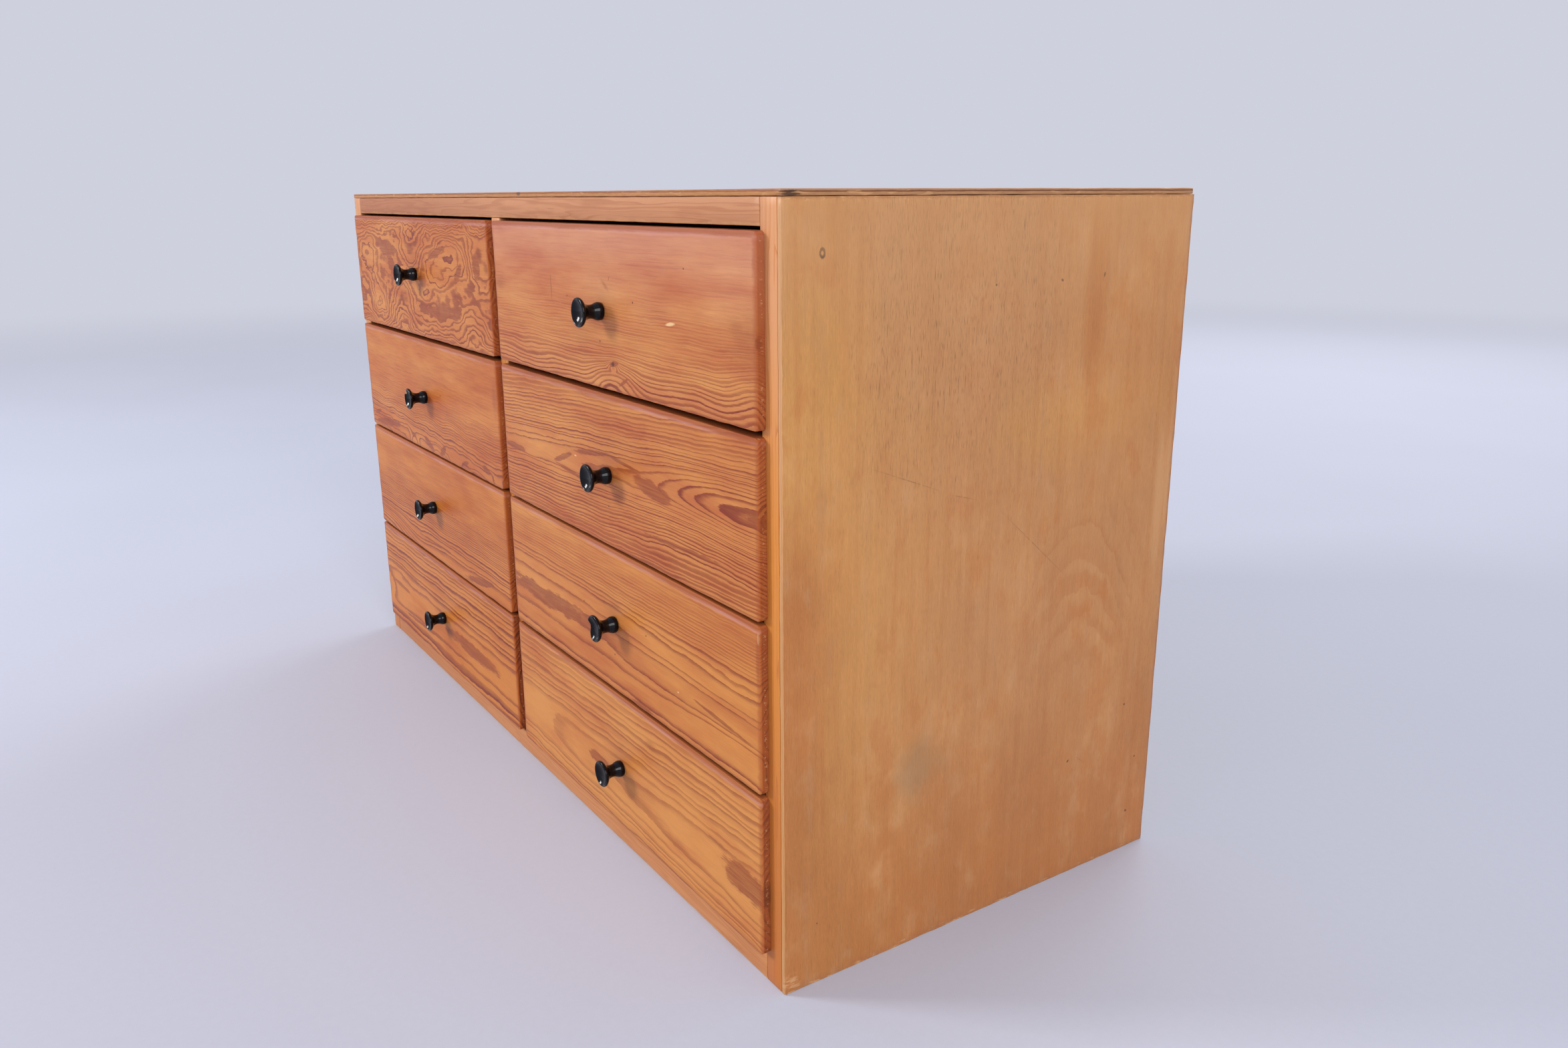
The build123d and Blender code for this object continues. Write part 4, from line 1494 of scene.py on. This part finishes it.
def floor_finish(look):
    """Pale floor that passes into the background far away."""
    f = Finish("floor")
    cloth = f.sway((6, 6, 6), 0.0, 3.0, 0.7)
    clouds = f.sway((400, 400, 400), 3.0, 2.0, 0.5)
    tint = f.shade(look.floor, cloth * 0.06 + clouds * 0.06 + 1.0)
    ground = f.node("BsdfPrincipled", None, {"Base Color": tint, "Roughness": 0.75})
    glow = f.node("Emission", None, {"Color": (*look.background, 1), "Strength": 1.0})
    plane = f.node("CombineXYZ", None, (f.x, f.y, 0.0))
    far = f.node("VectorMath", {"operation": "LENGTH"}, (plane,), "Value")
    blend = f.step(far, 1500, 5500) * f.in_sight()
    f.node("OutputMaterial", None, (f.node("MixShader", None, (blend, ground, glow)),))
    return f.material


def background(look):
    """Even white light, with the pale background where the camera and gloss see it."""
    world = bpy.data.worlds.new("background")
    world.use_nodes = True
    sky = Nodes(world.node_tree)
    light = sky.node("Background", None, {"Color": (1, 1, 1, 1), "Strength": look.sky})
    pale = sky.node("Background", None, {"Color": (*look.background, 1), "Strength": 1.0})
    both = sky.node("MixShader", None, (sky.in_sight(), light, pale))
    sky.node("OutputWorld", None, (both,))
    return world


def add_object(name, data, place=None):
    """Links a new object to the scene, at its place."""
    made = bpy.data.objects.new(name, data)
    if place is not None:
        made.matrix_world = place
    bpy.context.scene.collection.objects.link(made)
    return made


class UNIT_OT_stage(bpy.types.Operator):
    """Sets the floor, the background, the lamps and the camera"""

    bl_idname = "unit.stage"
    bl_label = "Stage"

    def execute(self, context):
        look = context.scene.unit_stage
        scene = context.scene
        scene.view_settings.view_transform = "Standard"
        bm = bmesh.new()
        bmesh.ops.create_grid(bm, x_segments=1, y_segments=1, size=30.0)
        mesh = bpy.data.meshes.new("floor")
        bm.to_mesh(mesh)
        bm.free()
        add_object("floor", mesh)
        mesh.materials.append(floor_finish(look))
        scene.world = background(look)

        # Name of the lamp, place, size and power
        for name, place, size, power in (
            ("key", (-2.25, -3.1, 1.75), 1.0, look.key_power),
            ("fill", (3.4, -1.2, 1.9), 2.0, look.fill_power),
            ("rear", (-1.2, 3.4, 2.2), 2.6, look.rear_power),
        ):
            light = bpy.data.lights.new(name, "AREA")
            light.size = size
            light.energy = power
            aim = (Vector((0, 0, 0.25)) - Vector(place)).to_track_quat("-Z", "Y")
            add_object(name, light, Matrix.Translation(place) @ aim.to_matrix().to_4x4())

        lens = bpy.data.cameras.new("camera")
        lens.lens = look.lens
        lens.sensor_fit = "HORIZONTAL"
        lens.sensor_width = 36.0
        scene.camera = add_object(
            "camera",
            lens,
            Matrix.Translation(look.camera_place)
            @ Matrix.Rotation(look.camera_turn, 4, "Z")
            @ Matrix.Rotation(math.pi / 2 - look.camera_tilt, 4, "X")
            @ Matrix.Rotation(look.camera_roll, 4, "Z"),
        )
        return {"FINISHED"}


OPERATORS = (
    UNIT_OT_fronts,
    UNIT_OT_knobs,
    UNIT_OT_side_panels,
    UNIT_OT_top_panel,
    UNIT_OT_uprights,
    UNIT_OT_rails,
    UNIT_OT_drawer_boxes,
    UNIT_OT_inner_frame,
    UNIT_OT_back_panel,
    UNIT_OT_stage,
)


class UNIT_PT_panel(bpy.types.Panel):
    """Lists the unit's pieces"""

    bl_label = "Drawer Unit"
    bl_idname = "UNIT_PT_panel"
    bl_space_type = "VIEW_3D"
    bl_region_type = "UI"
    bl_category = "Drawer Unit"

    def draw(self, context):
        for operator in OPERATORS:
            self.layout.operator(operator.bl_idname)


def register():
    for settings in SETTINGS.values():
        bpy.utils.register_class(settings)
    for name, settings in SETTINGS.items():
        setattr(bpy.types.Scene, name, PointerProperty(type=settings))
    for operator in OPERATORS:
        bpy.utils.register_class(operator)
    bpy.utils.register_class(UNIT_PT_panel)


def unregister():
    bpy.utils.unregister_class(UNIT_PT_panel)
    for operator in reversed(OPERATORS):
        bpy.utils.unregister_class(operator)
    for name in SETTINGS:
        delattr(bpy.types.Scene, name)
    for settings in reversed(SETTINGS.values()):
        bpy.utils.unregister_class(settings)


def main():
    register()
    bpy.ops.unit.fronts()
    bpy.ops.unit.knobs()
    bpy.ops.unit.side_panels()
    bpy.ops.unit.top_panel()
    bpy.ops.unit.uprights()
    bpy.ops.unit.rails()
    bpy.ops.unit.drawer_boxes()
    bpy.ops.unit.inner_frame()
    bpy.ops.unit.back_panel()
    bpy.ops.unit.stage()
    bpy.context.view_layer.update()


if __name__ == "__main__":
    main()
